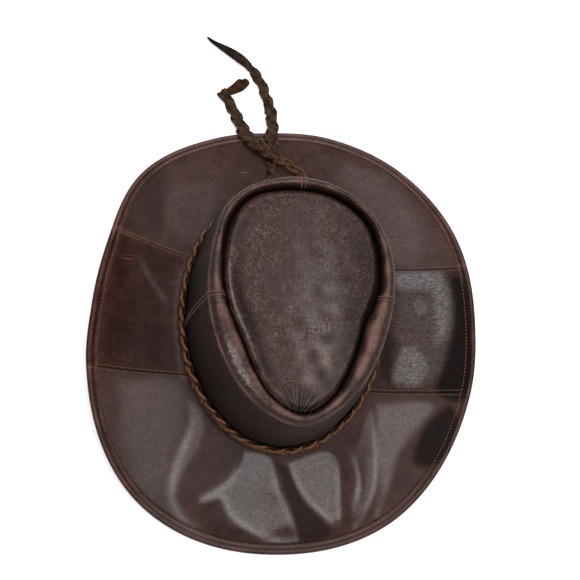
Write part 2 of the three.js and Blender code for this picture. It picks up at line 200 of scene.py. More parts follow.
def joined(parts):
    """Several lots of points, faces and marks as one."""
    faces, offset = [], 0
    for part_points, part_faces, _ in parts:
        faces += [tuple(k + offset for k in face) for face in part_faces]
        offset += len(part_points)
    marks = {mark: np.concatenate([part[2][mark] for part in parts]) for mark in parts[0][2]}
    return np.vstack([part[0] for part in parts]), faces, marks


def plait(centre, across, out, phase, spread, depth, width, thickness, ring, seed):
    """Three thongs plaited flat about a centre line. Phase is the weave's turn at each point of the line."""
    thongs = []
    for strand in range(3):
        turn = phase + strand * 2 * math.pi / 3
        rise = np.sin(2 * turn)
        middle = centre + across * (spread * np.sin(turn))[:, None] + out * (depth * rise)[:, None]
        if ring:
            run = unit(np.roll(middle, -1, axis=0) - np.roll(middle, 1, axis=0))
        else:
            run = unit(np.gradient(middle, axis=0))
        side = unit(np.cross(out, run))
        face = unit(np.cross(run, side))
        # Where the thong dives under the others, which the suede darkens with painted shade
        low = ease(-rise, -0.1, 0.95)
        thongs.append(thong(middle, side, face, width[:, None], thickness[:, None], low, ring, seed + strand))
    return joined(thongs)


class Amount:
    """A number that varies over a surface: a shader socket that works in sums like a Python number."""

    def __init__(self, finish, socket):
        self.finish = finish
        self.socket = socket

    def sum_with(self, operation, *values):
        return self.finish.node("ShaderNodeMath", {"operation": operation}, values)

    def __add__(self, other):
        return self.sum_with("ADD", self, other)

    def __sub__(self, other):
        return self.sum_with("SUBTRACT", self, other)

    def __rsub__(self, other):
        return self.sum_with("SUBTRACT", other, self)

    def __mul__(self, other):
        return self.sum_with("MULTIPLY", self, other)

    __radd__ = __add__
    __rmul__ = __mul__

    def bigger(self, other):
        return self.sum_with("MAXIMUM", self, other)

    def lines(self, level, width):
        """Thin wandering lines: 1 where the amount crosses the level, and 0 beyond the width from it."""
        gap = self - level
        return gap.sum_with("ABSOLUTE", gap).fading(0.0, width)

    def between(self, start, end):
        """0 up to start, 1 from end on, and a soft step between."""
        settings = {"interpolation_type": "SMOOTHSTEP"}
        values = {"Value": self, "From Min": start, "From Max": end}
        return self.finish.node("ShaderNodeMapRange", settings, values)

    def fading(self, start, end):
        """1 up to start, 0 from end on, and a soft step between."""
        return 1 - self.between(start, end)


class Finish:
    """A material under construction, whose nodes all come from the one method node."""

    def __init__(self, name):
        self.material = bpy.data.materials.new(name)
        self.material.use_nodes = True
        self.nodes = self.material.node_tree.nodes
        self.links = self.material.node_tree.links
        self.nodes.clear()
        self.place = self.node("ShaderNodeTexCoord", output="Object")

    def node(self, kind, settings=None, values=(), output=0):
        made = self.nodes.new(kind)
        for setting, value in (settings or {}).items():
            setattr(made, setting, value)
        pairs = values.items() if isinstance(values, dict) else enumerate(values)
        for slot, value in pairs:
            if isinstance(value, Amount):
                self.links.new(value.socket, made.inputs[slot])
            elif value is not None:
                made.inputs[slot].default_value = value
        return Amount(self, made.outputs[output])

    def noise(self, place, scale, detail, roughness=0.55, distortion=0.0):
        sizes = {"Scale": scale, "Detail": detail, "Roughness": roughness, "Distortion": distortion}
        return self.node("ShaderNodeTexNoise", None, {"Vector": place, **sizes}, "Fac")

    def lying(self, way, scales, detail, roughness, distortion):
        """Noise that is drawn out along a way by scales of its own in each direction."""
        return self.noise(self.stretched(way, scales), 1.0, detail, roughness, distortion)

    def cells(self, place, scale, feature):
        values = {"Vector": place, "Scale": scale}
        return self.node("ShaderNodeTexVoronoi", {"feature": feature}, values, "Distance")

    def mark(self, name, output="Fac"):
        return self.node("ShaderNodeAttribute", {"attribute_name": name}, (), output)

    def stretched(self, place, scale):
        return self.node("ShaderNodeVectorMath", {"operation": "MULTIPLY"}, (place, scale))

    def mixed(self, share, first, second):
        settings = {"data_type": "RGBA", "clamp_factor": True}
        return self.node("ShaderNodeMix", settings, {0: share, 6: first, 7: second}, 2)

    def layered(self, colour, layers):
        """A ground colour with layers of other colours over it, each laid on by its share."""
        for share, tint in layers:
            colour = self.mixed(share, colour, tint)
        return colour

    def spot(self, centre, radius):
        """1 at a place on the object, falling to 0 at the radius, in metres."""
        away = self.node("ShaderNodeVectorMath", {"operation": "DISTANCE"}, (self.place, centre), "Value")
        return away.fading(radius * 0.15, radius)

    def bumped(self, height, distance, strength):
        values = {"Strength": strength, "Distance": distance, "Height": height}
        return self.node("ShaderNodeBump", None, values)

    def done(self, values, constants):
        """Fits the shader that the surface shows: what varies by link, and what doesn't as constants."""
        shader = self.node("ShaderNodeBsdfPrincipled", None, {**constants, **values})
        shown = self.nodes.new("ShaderNodeOutputMaterial")
        self.links.new(shader.socket, shown.inputs["Surface"])
        return self.material


def suede(name, face, dark, warm, edge, edge_share):
    """Suede thong: napped, blotched dark and warm, with near-black painted shade in its dips and at its
    outermost edges, and ragged tan at its cut edges.
    """
    finish = Finish(name)
    lay = finish.mark("lay", "Vector")
    border = finish.mark("edge")
    blotch = finish.noise(finish.place, 210, 4, 0.65)
    warmth = finish.noise(finish.place, 150, 3, 0.6, 0.4)
    fibre = finish.noise(finish.stretched(lay, (1, 6, 1)), 620, 4, 0.75)
    nap = finish.noise(finish.place, 1500, 3, 0.7)
    ragged = finish.noise(lay, 330, 4, 0.65)
    tan = (border * 0.9 + ragged * 1.2 - 0.6).between(0.3, 0.75) * edge_share
    # Painted shade: near-black where the thong dives under the others, and along its outermost edges
    dip = (finish.mark("low") + ragged * 0.6 - 0.3).between(0.2, 0.85)
    painted_shade = (dip * 0.85).bigger(border.between(0.93, 1.0) * 0.7)
    colour = finish.layered(dark, [
        (blotch.between(0.42, 0.58), face), (warmth.between(0.52, 0.66) * 0.8, warm),
        (fibre.between(0.5, 0.68) * 0.35, edge), (nap.between(0.45, 0.6) * 0.25, dark),
        (tan * (1 - dip * 0.7), edge), (painted_shade, (0.004, 0.003, 0.002, 1)),
    ])
    values = {
        "Base Color": colour,
        "Roughness": 0.55 + nap * 0.35,
        "Normal": finish.bumped(fibre * 0.6 + ragged * 0.6 + nap * 0.3, 0.0011, 0.9),
    }
    return finish.done(values, {"IOR": 1.45, "Specular IOR Level": 0.14})


tail_suede = suede(
    "tail_suede", face=(0.085, 0.046, 0.031, 1), dark=(0.023, 0.0135, 0.0095, 1),
    warm=(0.12, 0.046, 0.022, 1), edge=(0.25, 0.11, 0.048, 1), edge_share=0.5,
)


def tail_lines(route):
    """A tail's centre line in millimetres with its sideways and upward directions at each point."""
    along, centre = smooth_route(route, TAIL_STEP)
    run = unit(np.gradient(centre, axis=0))
    across = unit(np.cross(run, (0, 0, 1)))
    return along, centre, across, unit(np.cross(across, run))


def tapered_end(along, centre, across, out, start):
    """The tight end of a tail: a ribbed oval that swallows the three thongs and narrows to its tip."""
    sides = 16
    keep = along >= start
    way = (along[keep] - start) / (along[-1] - start)
    places, widths, heights = np.array(END_SIZES).T
    ribbing = np.sin((along[keep] - start) * 2 * math.pi / RIB_PITCH)
    rib = 1 + 0.09 * ribbing
    turn = 2 * math.pi * np.arange(sides) / sides
    wide = (np.interp(way, places, widths) * rib)[:, None] * np.cos(turn)
    tall = (np.interp(way, places, heights) * rib)[:, None] * np.sin(turn)
    rings = centre[keep][:, None] + across[keep][:, None] * wide[..., None]
    rings = rings + out[keep][:, None] * tall[..., None]
    count = len(way)
    marks = {
        "edge": np.zeros(count * sides),
        # Painted shade, deeper along the end and in the grooves between the ribs
        "low": np.repeat(0.45 + 0.35 * ease(way, 0.1, 0.6) - 0.25 * ribbing, sides),
        "lay": grid_of(along[keep][:, None], wide, 0).reshape(-1, 3) / 1000,
    }
    return rings.reshape(-1, 3), swept((count, sides), False), marks


along, centre, across, out = tail_lines(LONG_TAIL_ROUTE)
long_length = along[-1] / 1000
end_start = along[-1] - END_LENGTH
kept = along <= end_start + 9
taper = 1.06 - 0.22 * ease(along, 30, end_start)
narrow = (1 - 0.75 * ease(along, end_start - 6, end_start + 8)) * taper
phase = along * 2 * math.pi / 43 + 0.9
long_plait = plait(
    centre[kept], across[kept], out[kept], phase[kept], (3.3 * narrow)[kept], (1.15 * narrow)[kept],
    (5.3 * taper - 2.4 * (taper - narrow))[kept], np.full(kept.sum(), 2.1), False, 11,
)
long_end = tapered_end(along, centre, across, out, end_start - 3)
points, faces, marks = joined([long_plait, long_end])
tail_long = mesh_piece("plaited_tail_long", in_metres(points), faces, tail_suede, marks, PLAIT_CRISP)
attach(tail_long, "root")
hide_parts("tail_long")

along, centre, across, out = tail_lines(SHORT_TAIL_ROUTE)
short_length = along[-1] / 1000
loose = 1 - ease(along, 36, 52)
taper = 1.04 - 0.16 * ease(along, 80, along[-1])
phase = along * 2 * math.pi / 41 + 0.2
points, faces, marks = plait(
    centre, across, out, phase, (3.3 - 0.3 * loose) * taper, 1.15 + 0.15 * loose, 5.3 * taper - 3.3 * loose,
    2.1 - 0.7 * loose, False, 31,
)
loose_round = np.repeat(np.tile(loose, 3), THONG_SIDES)
marks["edge"] = marks["edge"] * (1 - loose_round) + 0.8 * loose_round
marks["low"] = marks["low"] * (1 - 0.8 * loose_round)
tail_short = mesh_piece("plaited_tail_short", in_metres(points), faces, tail_suede, marks, PLAIT_CRISP)
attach(tail_short, "root")
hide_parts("tail_short")


# Flap at the end of the short tail: one flat tongue of the same suede left unplaited, red-brown on its
# rough side, folded out to the right and lying on the floor beside the tail's tip.
FLAP_OUTLINE = [
    (-2.6, -2.2), (0.6, -3.5), (6, -4.7), (11, -5.4), (16.5, -4.4), (20, -2.6), (20.3, 0.6), (18.6, 3.4),
    (16.9, 3.2), (14.4, 5.2), (12, 5.6), (6, 4.6), (0.6, 3.9), (-2.6, 3.0), (-2.6, -2.2),
]
# Rings of the flap's cross-section from its middle out and down its side: share of the outline, and height
FLAP_RINGS = [
    (0.0, 1.0), (0.35, 1.3), (0.6, 1.55), (0.82, 1.75), (0.94, 1.9), (1.0, 1.45), (1.0, 0.55), (0.95, 0.02),
]
flap_suede = suede(
    "flap_suede", face=(0.06, 0.021, 0.01, 1), dark=(0.024, 0.01, 0.006, 1),
    warm=(0.09, 0.033, 0.013, 1), edge=(0.11, 0.05, 0.024, 1), edge_share=0.4,
)
before_tip, tip_point = np.array(SHORT_TAIL_ROUTE[-2:], float)
tail_way = unit(tip_point - before_tip)
flap_way = np.array([tail_way[1], -tail_way[0], 0])
flap_up_way = np.array([-flap_way[1], flap_way[0], 0])
flap_corner = tip_point * (1, 1, 0) - tail_way * 4.4 + flap_way * 6.05
outline = smooth_route(np.column_stack([FLAP_OUTLINE, np.zeros(len(FLAP_OUTLINE))]), 0.8)[1][:-1, :2]
outline_middle = outline.mean(axis=0)
rings = []
for share, height in FLAP_RINGS:
    flat = outline_middle + (outline - outline_middle) * share
    lump = even_noise(flat, 6, 5) * 0.28 if height > 0.6 else np.zeros(len(flat))
    ring = flap_corner + flat[:, :1] * flap_way + flat[:, 1:] * flap_up_way
    rings.append(ring + np.outer(np.clip(height + lump, 0.02, 2.6), (0, 0, 1)))
points = np.vstack(rings)
faces = swept((len(rings), len(outline)), False)
lay = (points - flap_corner) * (0.4, 1, 1) / 1000
edge = np.repeat([0, 0, 0, 0.1, 0.5, 1.0, 1.0, 1.0], len(outline))
marks = {"edge": edge, "low": np.zeros_like(edge), "lay": lay}
tail_flap = mesh_piece("tail_flap", in_metres(points), faces, flap_suede, marks, 60)
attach(tail_flap, "root")
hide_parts("tail_short_end")


# Crown side: the wall of the crown in three pieces of stout leather, which lean in from the oval head
# opening to a teardrop crest, roll over it with a pinched edge and turn down into the groove round the tip.
BASE_HALF_WIDTH = 80
BASE_HALF_LENGTH = 106
BRIM_DROP = 16
BRIM_LEATHER = 2.5
CROWN_LEATHER = 2
CREST_Z = 116
CREST_HALF_LENGTH = 90
CREST_MIDDLE = (4.5, 5, 0)
FOLD_DROP = 7
ROLL_WIDTH = 10
GROOVE_WIDTH = 9
GROOVE_DEPTH = 15
WALL_BULGE = 2.5
SEAM_GAP = 0.06
INNER_DROP = 0.85
CREST_MM_PER_DEGREE = 1.45
GLOSS_HEADING = 231
SEAM_STITCH_COLUMN = 6
# Compass angle, then reach of the outer fold, width of the rolled rim and width of the groove as shares,
# and how deep the rim is hollowed between its two ridges, in millimetres
CREST = [
    (-90, 1.165, 0.85, 0.29, 0.0), (-75, 1.075, 1.0, 0.24, 0.1), (-60, 0.972, 1.55, 0.33, 0.15),
    (-45, 0.877, 1.72, 0.33, 0.25), (-30, 0.815, 1.79, 0.33, 0.35), (-15, 0.79, 1.53, 0.45, 0.35),
    (0, 0.788, 1.07, 0.54, 0.3), (15, 0.817, 1.02, 0.4, 0.45), (30, 0.857, 0.82, 0.44, 0.5),
    (45, 0.9, 0.6, 0.36, 0.5), (60, 0.938, 0.61, 0.3, 0.5), (75, 0.966, 0.72, 0.22, 0.45),
    (90, 0.983, 0.83, 0.2, 0.3), (105, 0.992, 0.74, 0.22, 0.3), (120, 0.993, 0.62, 0.26, 0.35),
    (135, 0.958, 0.76, 0.38, 0.3), (150, 0.872, 0.76, 0.44, 0.3), (165, 0.826, 1.0, 0.3, 0.3),
    (180, 0.806, 1.12, 0.3, 0.4), (195, 0.818, 1.42, 0.22, 0.6), (210, 0.852, 1.7, 0.2, 0.8),
    (225, 0.92, 1.88, 0.27, 0.9), (240, 1.013, 1.7, 0.23, 0.9), (255, 1.11, 1.2, 0.22, 0.6),
]
CROWN_PANELS = [
    ("crown_side_back_right", -6, 90), ("crown_side_back_left", 90, 186), ("crown_side_front", 186, 354),
]


def heading(degrees):
    angle = np.radians(degrees)
    return grid_of(np.cos(angle), np.sin(angle), 0)


def hill(value, middle, width):
    """1 at the middle, falling softly away to 0 over about twice the width on either side."""
    return np.exp(-(((value - middle) / width) ** 2))


def read_round(table, column, degrees):
    """One column of a table read at any compass angle, as a smooth closed curve through its rows."""
    rows = np.array(sorted(table), float)
    at = np.concatenate([rows[:, 0] - 360, rows[:, 0], rows[:, 0] + 360])
    value = np.tile(rows[:, column], 3)
    slope = (np.roll(value, -1) - np.roll(value, 1)) / (np.roll(at, -1) - np.roll(at, 1))
    here = rows[0, 0] + np.mod(degrees - rows[0, 0], 360)
    i = np.searchsorted(at, here, side="right") - 1
    span = at[i + 1] - at[i]
    t = (here - at[i]) / span
    start = (1 + 2 * t) * (1 - t) ** 2 * value[i] + t * (1 - t) ** 2 * span * slope[i]
    return start + (3 - 2 * t) * t**2 * value[i + 1] + (t - 1) * t**2 * span * slope[i + 1]


def base_point(degrees, clearance):
    way = heading(degrees)
    sideways = way[..., 0] / (BASE_HALF_WIDTH + clearance)
    lengthways = way[..., 1] / (BASE_HALF_LENGTH + clearance)
    return way * (1 / np.hypot(sideways, lengthways))[..., None]


def crest_point(degrees, inwards, z):
    """A point of the crest at a share of the rim's width inwards from the outer fold."""
    outer = CREST_HALF_LENGTH * read_round(CREST, 1, degrees)
    reach = outer - inwards * ROLL_WIDTH * read_round(CREST, 2, degrees)
    point = heading(degrees) * reach[..., None] + CREST_MIDDLE
    point[..., 2] = z
    return point


def wall_point(degrees, share):
    foot = base_point(degrees, 0)
    foot[..., 2] = BRIM_DROP - BRIM_LEATHER / 2
    fold = crest_point(degrees, 0, CREST_Z - FOLD_DROP)
    bulge = WALL_BULGE * np.sin(math.pi * share)
    return foot + (fold - foot) * share[..., None] + heading(degrees) * bulge[..., None]


def facing(points):
    """Directions square to a grid of surface points."""
    up = np.gradient(points, axis=0)
    round_way = np.gradient(points, axis=1)
    return unit(np.cross(round_way, up))


def seam_steps(length, spacing):
    """Places along a panel in millimetres, close together at its two seams and even between them."""
    near = np.array([0, 0.2, 0.4, 0.65, 0.95, 1.3, 1.7, 2.2, 2.8, 3.5, 4.3, 5.3, 6.5])
    count = int((length - 2 * near[-1]) / spacing) + 1
    between = np.linspace(near[-1], length - near[-1], count)[1:-1]
    return np.concatenate([near, between, length - near[::-1]])


def away_from_seams(points):
    """How far each point of a grid lies from the panel's first and last column, in millimetres."""
    steps = np.linalg.norm(np.diff(points, axis=1), axis=2)
    first = np.concatenate([np.zeros((len(points), 1)), np.cumsum(steps, axis=1)], axis=1)
    return first, first[:, -1:] - first


def draw_in(grid, surface):
    """Moves the first and last column of a panel's grid in by half of the seam's gap."""
    for columns, towards in ((slice(0, 1), 1), (slice(-1, None), -1)):
        grid[:, columns] += unit(np.diff(surface, axis=1)[:, columns]) * towards * SEAM_GAP / 2


def panel_piece(name, outer, inner, marks, material, ring=False):
    """A closed leather panel from a grid of outer points and a coarser grid of inner points.

    Both run up the panel from the same edge, and marks are given on the outer grid."""
    n, m, columns = len(outer), len(inner), outer.shape[1]
    positions = np.concatenate([outer, inner[::-1]])
    faces = []
    rows = np.arange(n + m)
    for i in range(columns if ring else columns - 1):
        here, there = i, (i + 1) % columns
        low, high = rows * columns, np.roll(rows, -1) * columns
        faces += np.column_stack([low + here, low + there, high + there, high + here]).tolist()
    for column in () if ring else (0, columns - 1):
        top, under, cap = 0, 0, []
        while top < n - 1 or under < m - 1:
            here, below = top * columns + column, (n + m - 1 - under) * columns + column
            if top < n - 1 and (under == m - 1 or (top + 1) / (n - 1) <= (under + 1) / (m - 1)):
                cap.append((here, here + columns, below))
                top += 1
            else:
                cap.append((here, below - columns, below))
                under += 1
        faces += cap if column == 0 else [triangle[::-1] for triangle in cap]
    laid = {}
    for mark, values in marks.items():
        under_marks = np.zeros((m,) + values.shape[1:])
        if values.ndim == 3:
            under_marks = values[np.linspace(n - 1, 0, m).round().astype(int)]
        laid[mark] = np.concatenate([values, under_marks]).reshape((-1,) + values.shape[2:])
    return mesh_piece(name, in_metres(positions.reshape(-1, 3)), faces, material, laid, 42)


# Colour of painted highlights on crests, crackle and flutes, and the near-black of painted shade and shadow
PAINTED_HIGHLIGHT = (0.19, 0.165, 0.155, 1)
DEEP_SHADOW = (0.004, 0.002, 0.002, 1)


def leather(
    name, dye, deep, worn_and_lit, spots, sheen, creases, grain, coat_roughness=0.17, cloudy=1.0, lined=0.2,
):
    """Oiled leather: clouded dye, pale where it is rubbed and where highlights are painted, finely creased,
    and glossy where it was handled.

    Spots are small scuffs of another colour, and sheen is the shine of the plain surface. Creases, grain,
    cloudy and lined are the strengths of the fine folds, the pebbles, the breaks in the polish and the thin
    crackle lines, each a painted highlight beside a painted shadow. The piece's marks say where it is rubbed
    and lit by painted highlights, darkened by painted shade, polished, given painted highlights on crests,
    and gathered, with painted shadow in the gathered flutes."""
    finish = Finish(name)
    lay = finish.mark("lay", "Vector")
    wear_and_highlight = finish.mark("wear_and_highlight")
    shade = finish.mark("shade")
    polish = finish.mark("polish")
    cloud = finish.noise(finish.place, 16, 3, 0.5)
    blotch = finish.noise(finish.place, 85, 6, 0.68)
    mottle = finish.noise(finish.place, 260, 4, 0.7)
    ragged = finish.noise(finish.place, 520, 4, 0.7)
    pebble = finish.cells(finish.place, 1100, "SMOOTH_F1")
    grit = finish.noise(finish.place, 1150, 2, 0.6)
    cracks = finish.cells(finish.stretched(lay, (520, 230, 1)), 1.0, "DISTANCE_TO_EDGE")
    streak = finish.lying(lay, (560, 240, 1), 5, 0.7, 0.6)
    flutes = finish.lying(lay, (150, 9, 1), 2, 0.5, 0.2)
    lengthwise = finish.lying(lay, (480, 115, 1), 1.5, 0.5, 0.3)
    crosswise = finish.lying(finish.place, (120, 430, 300), 1.5, 0.5, 0.25)
    finest = finish.lying(lay, (950, 260, 1), 1.5, 0.5, 0.3)
    busy = (cloud * 0.45 + blotch * 0.55).between(0.44, 0.57) * 0.62 + 0.38
    # Thin crackle lines, each painted as a pale highlight line with a near-black painted shadow line beside
    # it
    wrinkle_highlight = lengthwise.lines(0.5, 0.06).bigger(crosswise.lines(0.5, 0.045))
    wrinkle_highlight = wrinkle_highlight.bigger(finest.lines(0.5, 0.07) * 0.7) * busy
    crease_shadow = lengthwise.lines(0.58, 0.06).bigger(crosswise.lines(0.57, 0.05))
    crease_shadow = crease_shadow.bigger(finest.lines(0.6, 0.07) * 0.7) * busy
    # Pale where it is rubbed, and where highlights are painted on edges and ridges
    rub_and_highlight = (wear_and_highlight * 1.15 + ragged * 0.7 - 0.38).between(0.1, 0.95)
    layers = [
        ((cloud * 0.4 + blotch * 0.35 + mottle * 0.25).between(0.4, 0.6), dye),
        (streak.between(0.58, 0.72) * (creases * 0.2), worn_and_lit),
        (streak.fading(0.34, 0.5) * (creases * 0.35), deep),
        (ragged.fading(0.35, 0.6) * 0.3, deep),
        (grit.fading(0.4, 0.6) * (0.25 + 0.2 * creases), deep),
        (rub_and_highlight, worn_and_lit),
        (crease_shadow * (lined * 1.4), DEEP_SHADOW),
        (wrinkle_highlight * (blotch.between(0.4, 0.6) * 0.5 + 0.5) * lined, worn_and_lit),
    ]
    scratches = finish.lying(finish.place, (70, 900, 70), 2, 0.5, 0.3)
    for centre, radius, tint in spots:
        layers.append((finish.spot(centre, radius) * scratches.between(0.52, 0.6) * 0.8, tint))
    glints = ragged * 0.5 + 0.45 - streak.fading(0.4, 0.56) * (creases * 0.7)
    gather = finish.mark("gather")
    # Painted shadow in the flutes of the gather, and a painted highlight beside each
    fold_shadow = flutes.fading(0.45, 0.52) * gather
    layers += [
        (shade * 0.85, DEEP_SHADOW),
        (finish.mark("crest") * glints, PAINTED_HIGHLIGHT),
        (fold_shadow, DEEP_SHADOW),
        (flutes.between(0.53, 0.6) * gather * 0.4, PAINTED_HIGHLIGHT),
    ]
    crack_line = cracks.fading(0.0, 0.16)
    relief = pebble * (0.25 * grain) + streak * (0.9 * creases) - crack_line * (0.35 * creases)
    relief = relief + ragged * 0.25 + mottle * 0.5 + flutes * gather * 5
    relief = relief + (wrinkle_highlight - crease_shadow) * (0.4 * creases)
    patchy = 1 - (ragged * 0.3 + mottle * 0.3 + grit * 0.4).fading(0.36, 0.62) * (0.5 * cloudy)
    patchy = patchy * (1 - streak.fading(0.38, 0.58) * (creases * 0.6 * cloudy))
    unshaded = polish * patchy * (1 - shade * 0.6)
    values = {
        "Base Color": finish.layered(deep, layers),
        "Roughness": 0.34 + ragged * 0.14 + mottle * 0.16 + rub_and_highlight * 0.12 + shade * 0.3,
        "Coat Weight": unshaded * (1 - crease_shadow * (lined * 1.6)) * (1 - fold_shadow),
        "Normal": finish.bumped(relief, 0.0004 + 0.0004 * creases, 0.6),
    }
    constants = {
        "IOR": 1.5, "Specular IOR Level": sheen, "Coat Roughness": coat_roughness, "Coat IOR": 1.55,
    }
    return finish.done(values, constants)


side_leather = leather(
    "crown_side_leather", (0.05, 0.022, 0.018, 1), (0.022, 0.01, 0.008, 1), (0.16, 0.078, 0.06, 1), [],
    sheen=0.14, creases=0.85, grain=1.2,
)
WALL_ROWS = np.linspace(0, 1, 46)[:-1]
ROLL_ROWS = np.array([
    0, 0.025, 0.05, 0.075, 0.1, 0.13, 0.17, 0.22, 0.28, 0.34, 0.4, 0.46, 0.52, 0.58, 0.64, 0.69, 0.74, 0.78,
    0.82, 0.86, 0.9, 0.93, 0.96, 0.98, 1.0,
])
FLANGE_ROWS = np.array([0.25, 0.5, 0.75, 1.0])
wall_rows = len(WALL_ROWS)
crown_rows = wall_rows + len(ROLL_ROWS) + len(FLANGE_ROWS)


def crown_surface(degrees):
    """The crown side's outside from the brim, up the wall, over the rolled rim and down into the groove."""
    wall = [wall_point(degrees, np.full_like(degrees, share)) for share in WALL_ROWS]
    roll = []
    for inwards in ROLL_ROWS:
        drop = (1 - inwards / 0.5) ** 3.2 if inwards < 0.5 else INNER_DROP * ((inwards - 0.5) / 0.5) ** 3.4
        roll.append(crest_point(degrees, inwards, CREST_Z - FOLD_DROP * drop))
    fold_z = CREST_Z - FOLD_DROP * INNER_DROP
    depth = CREST_Z - GROOVE_DEPTH - fold_z
    flange = [crest_point(degrees, 1, fold_z + depth * share) for share in FLANGE_ROWS]
    return np.array(wall + roll + flange)


crown_seam_lines = []
for name, start, end in CROWN_PANELS:
    length = (end - start) * CREST_MM_PER_DEGREE
    degrees = start + (end - start) * seam_steps(length, 0.85) / length
    surface = crown_surface(degrees)
    out = facing(surface)
    from_first, from_last = away_from_seams(surface)
    seam = np.minimum(from_first, from_last)
    rows = np.arange(crown_rows)[:, None] * np.ones_like(degrees)
    height = surface[..., 2]
    wall_share = np.concatenate([WALL_ROWS, np.ones(crown_rows - wall_rows)])[:, None]
    inwards = np.concatenate([np.full(wall_rows, -1.0), ROLL_ROWS, np.ones(len(FLANGE_ROWS))])[:, None]
    on_rim = (inwards >= 0) * 1.0
    hollow = read_round(CREST, 4, degrees)[None, :]
    pinch = hill(inwards, 0.05, 0.05) * on_rim
    inner_ridge = hill(inwards, 0.8, 0.1) * on_rim * ease(hollow, 0.3, 1.0)
    channel = np.sin(math.pi * np.clip((inwards - 0.08) / 0.58, 0, 1)) ** 1.3 * on_rim
    round_way = degrees[None, :] * 1.5
    buckle = even_noise(grid_of(round_way, height * 0.35), 15, 3)
    buckle = buckle * np.sin(math.pi * wall_share) ** 0.8 * (1 - on_rim)
    fine_place = grid_of(round_way, rows * 0.35)
    pucker = even_noise(fine_place, 3.2, 8) * on_rim * (inwards < 0.99)
    crackle = even_noise(grid_of(round_way, rows * 0.3), 2.6, 18)
    crackle = crackle * hill(degrees, GLOSS_HEADING, 15)[None] * channel
    relief = 0.55 * pinch + 0.75 * inner_ridge - hollow * channel
    relief = relief + 0.85 * buckle + 0.16 * pucker + 0.2 * crackle
    relief = relief - 0.4 * hill(seam, 0, 0.5) + 0.25 * hill(seam, 2.2, 1.4)
    relief = relief * ease(height - (BRIM_DROP - BRIM_LEATHER / 2), 1, 6)
    outside = surface + out * relief[..., None]
    draw_in(outside, surface)
    kept_rows = [np.arange(0, wall_rows, 3), np.arange(wall_rows, crown_rows, 2), [crown_rows - 1]]
    inside = (surface - out * (CROWN_LEATHER - 0.2))[np.unique(np.concatenate(kept_rows))]
    rises = np.linalg.norm(np.diff(surface, axis=0), axis=2)
    climb = np.concatenate([np.zeros((1, len(degrees))), np.cumsum(rises, axis=0)])
    patchy = 0.75 + 0.35 * even_noise(fine_place, 11, 21)
    # Partly rubbed leather and partly painted highlight: pale lines on the pinched edge and the inner ridge,
    # a lighter inner half of the roll that is strongest at the front right, and rubbed seams
    wear_and_highlight = (0.85 * pinch + 0.6 * inner_ridge) * patchy
    rim_light = hill(inwards, 0.6, 0.3) * on_rim
    front_right = hill(degrees, 325, 28)[None]
    wear_and_highlight = wear_and_highlight + rim_light * (0.62 - 0.3 * ease(hollow, 0.5, 1.2) + 0.6 * front_right) * patchy
    wear_and_highlight = wear_and_highlight + 0.3 * hill(seam, 1.0, 1) * on_rim
    front = hill(degrees, 285, 26)[None]
    shade = ease(inwards, 0.93, 1.0) + 0.3 * hill(seam, 0, 0.5)
    shade = shade + (0.85 - 0.3 * wall_share - 0.35 * front + 0.12 * buckle) * (1 - on_rim)
    glossy = np.clip(1.5 * hill(degrees, GLOSS_HEADING, 13)[None] * channel, 0, 1)
    polish = 0.1 * on_rim + glossy + 0.3 * rim_light * (1 - ease(hollow, 0.4, 1.0))
    marks = {
        "lay": grid_of(from_first + degrees[0] * 2, climb, 0) / 1000,
        "wear_and_highlight": np.clip(wear_and_highlight, 0, 1),
        "shade": np.clip(shade, 0, 1),
        "polish": np.clip(polish, 0, 1),
        # Painted highlights, broken up by the crackle, inside the glossy patch
        "crest": (0.25 + 0.75 * ease(crackle, -0.1, 0.6)) * glossy,
    }
    piece = panel_piece(name + "_leather", outside, inside, marks, side_leather)
    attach(piece, "root")
    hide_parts(name)
    dressed = facing(outside)
    for column in (SEAM_STITCH_COLUMN, -1 - SEAM_STITCH_COLUMN):
        crown_seam_lines.append((outside[6:-6, column], dressed[6:-6, column]))


# Crown tip: one teardrop of softer, duller leather sunk inside the rolled rim, pillowed at its edge,
# dimpled to the left and gathered tightly at its front end where the rim is drawn together.
TIP_SINK = 4.5
TIP_DOME = 3
TIP_TURN_DOWN = 3.5
TIP_DIMPLE = 4
TIP_DIMPLES = [(-0.34, 0.05, 1, 0.3), (0.02, -0.62, 0.6, 0.22)]
# Compass angle, and how far the tip's pillowed edge stands above the valley inside it, in millimetres
TIP_PILLOW = [
    (-90, 0.5), (-45, 0.6), (0, 0.4), (45, 0.1), (90, 0.1), (135, 0.7), (180, 1.7), (215, 2.0), (245, 1.5),
]
LIP_ROWS = (0.15, 0.4, 0.7, 1.0)
GATHER = np.array([0.5, -94.0, 0.0])
GATHER_REACH = 19
tip_leather = leather(
    "crown_tip_leather", (0.058, 0.0215, 0.0165, 1), (0.034, 0.013, 0.0105, 1), (0.19, 0.12, 0.102, 1),
    [
        ((-0.0064, -0.0572, 0.112), 0.004, (0.18, 0.06, 0.04, 1)),
        ((0.0186, 0.0668, 0.112), 0.003, (0.16, 0.05, 0.04, 1)),
        ((0.0236, 0.0688, 0.112), 0.003, (0.16, 0.06, 0.04, 1)),
    ],
    sheen=0.15, creases=1.0, grain=1.3, coat_roughness=0.2, cloudy=0.3, lined=0.48,
)
tip_degrees = np.linspace(0, 360, 361)[:-1]
tip_shares = np.concatenate([np.linspace(0, 0.8, 52), np.linspace(0.8, 1, 26)[1:]])
dome = 1 - tip_shares**2.6
turn = ease(tip_shares, 0.95, 1.0) ** 1.5
rim_width = ROLL_WIDTH * read_round(CREST, 2, tip_degrees)
edge_reach = CREST_HALF_LENGTH * read_round(CREST, 1, tip_degrees) - rim_width
edge_reach = edge_reach - GROOVE_WIDTH * read_round(CREST, 3, tip_degrees)
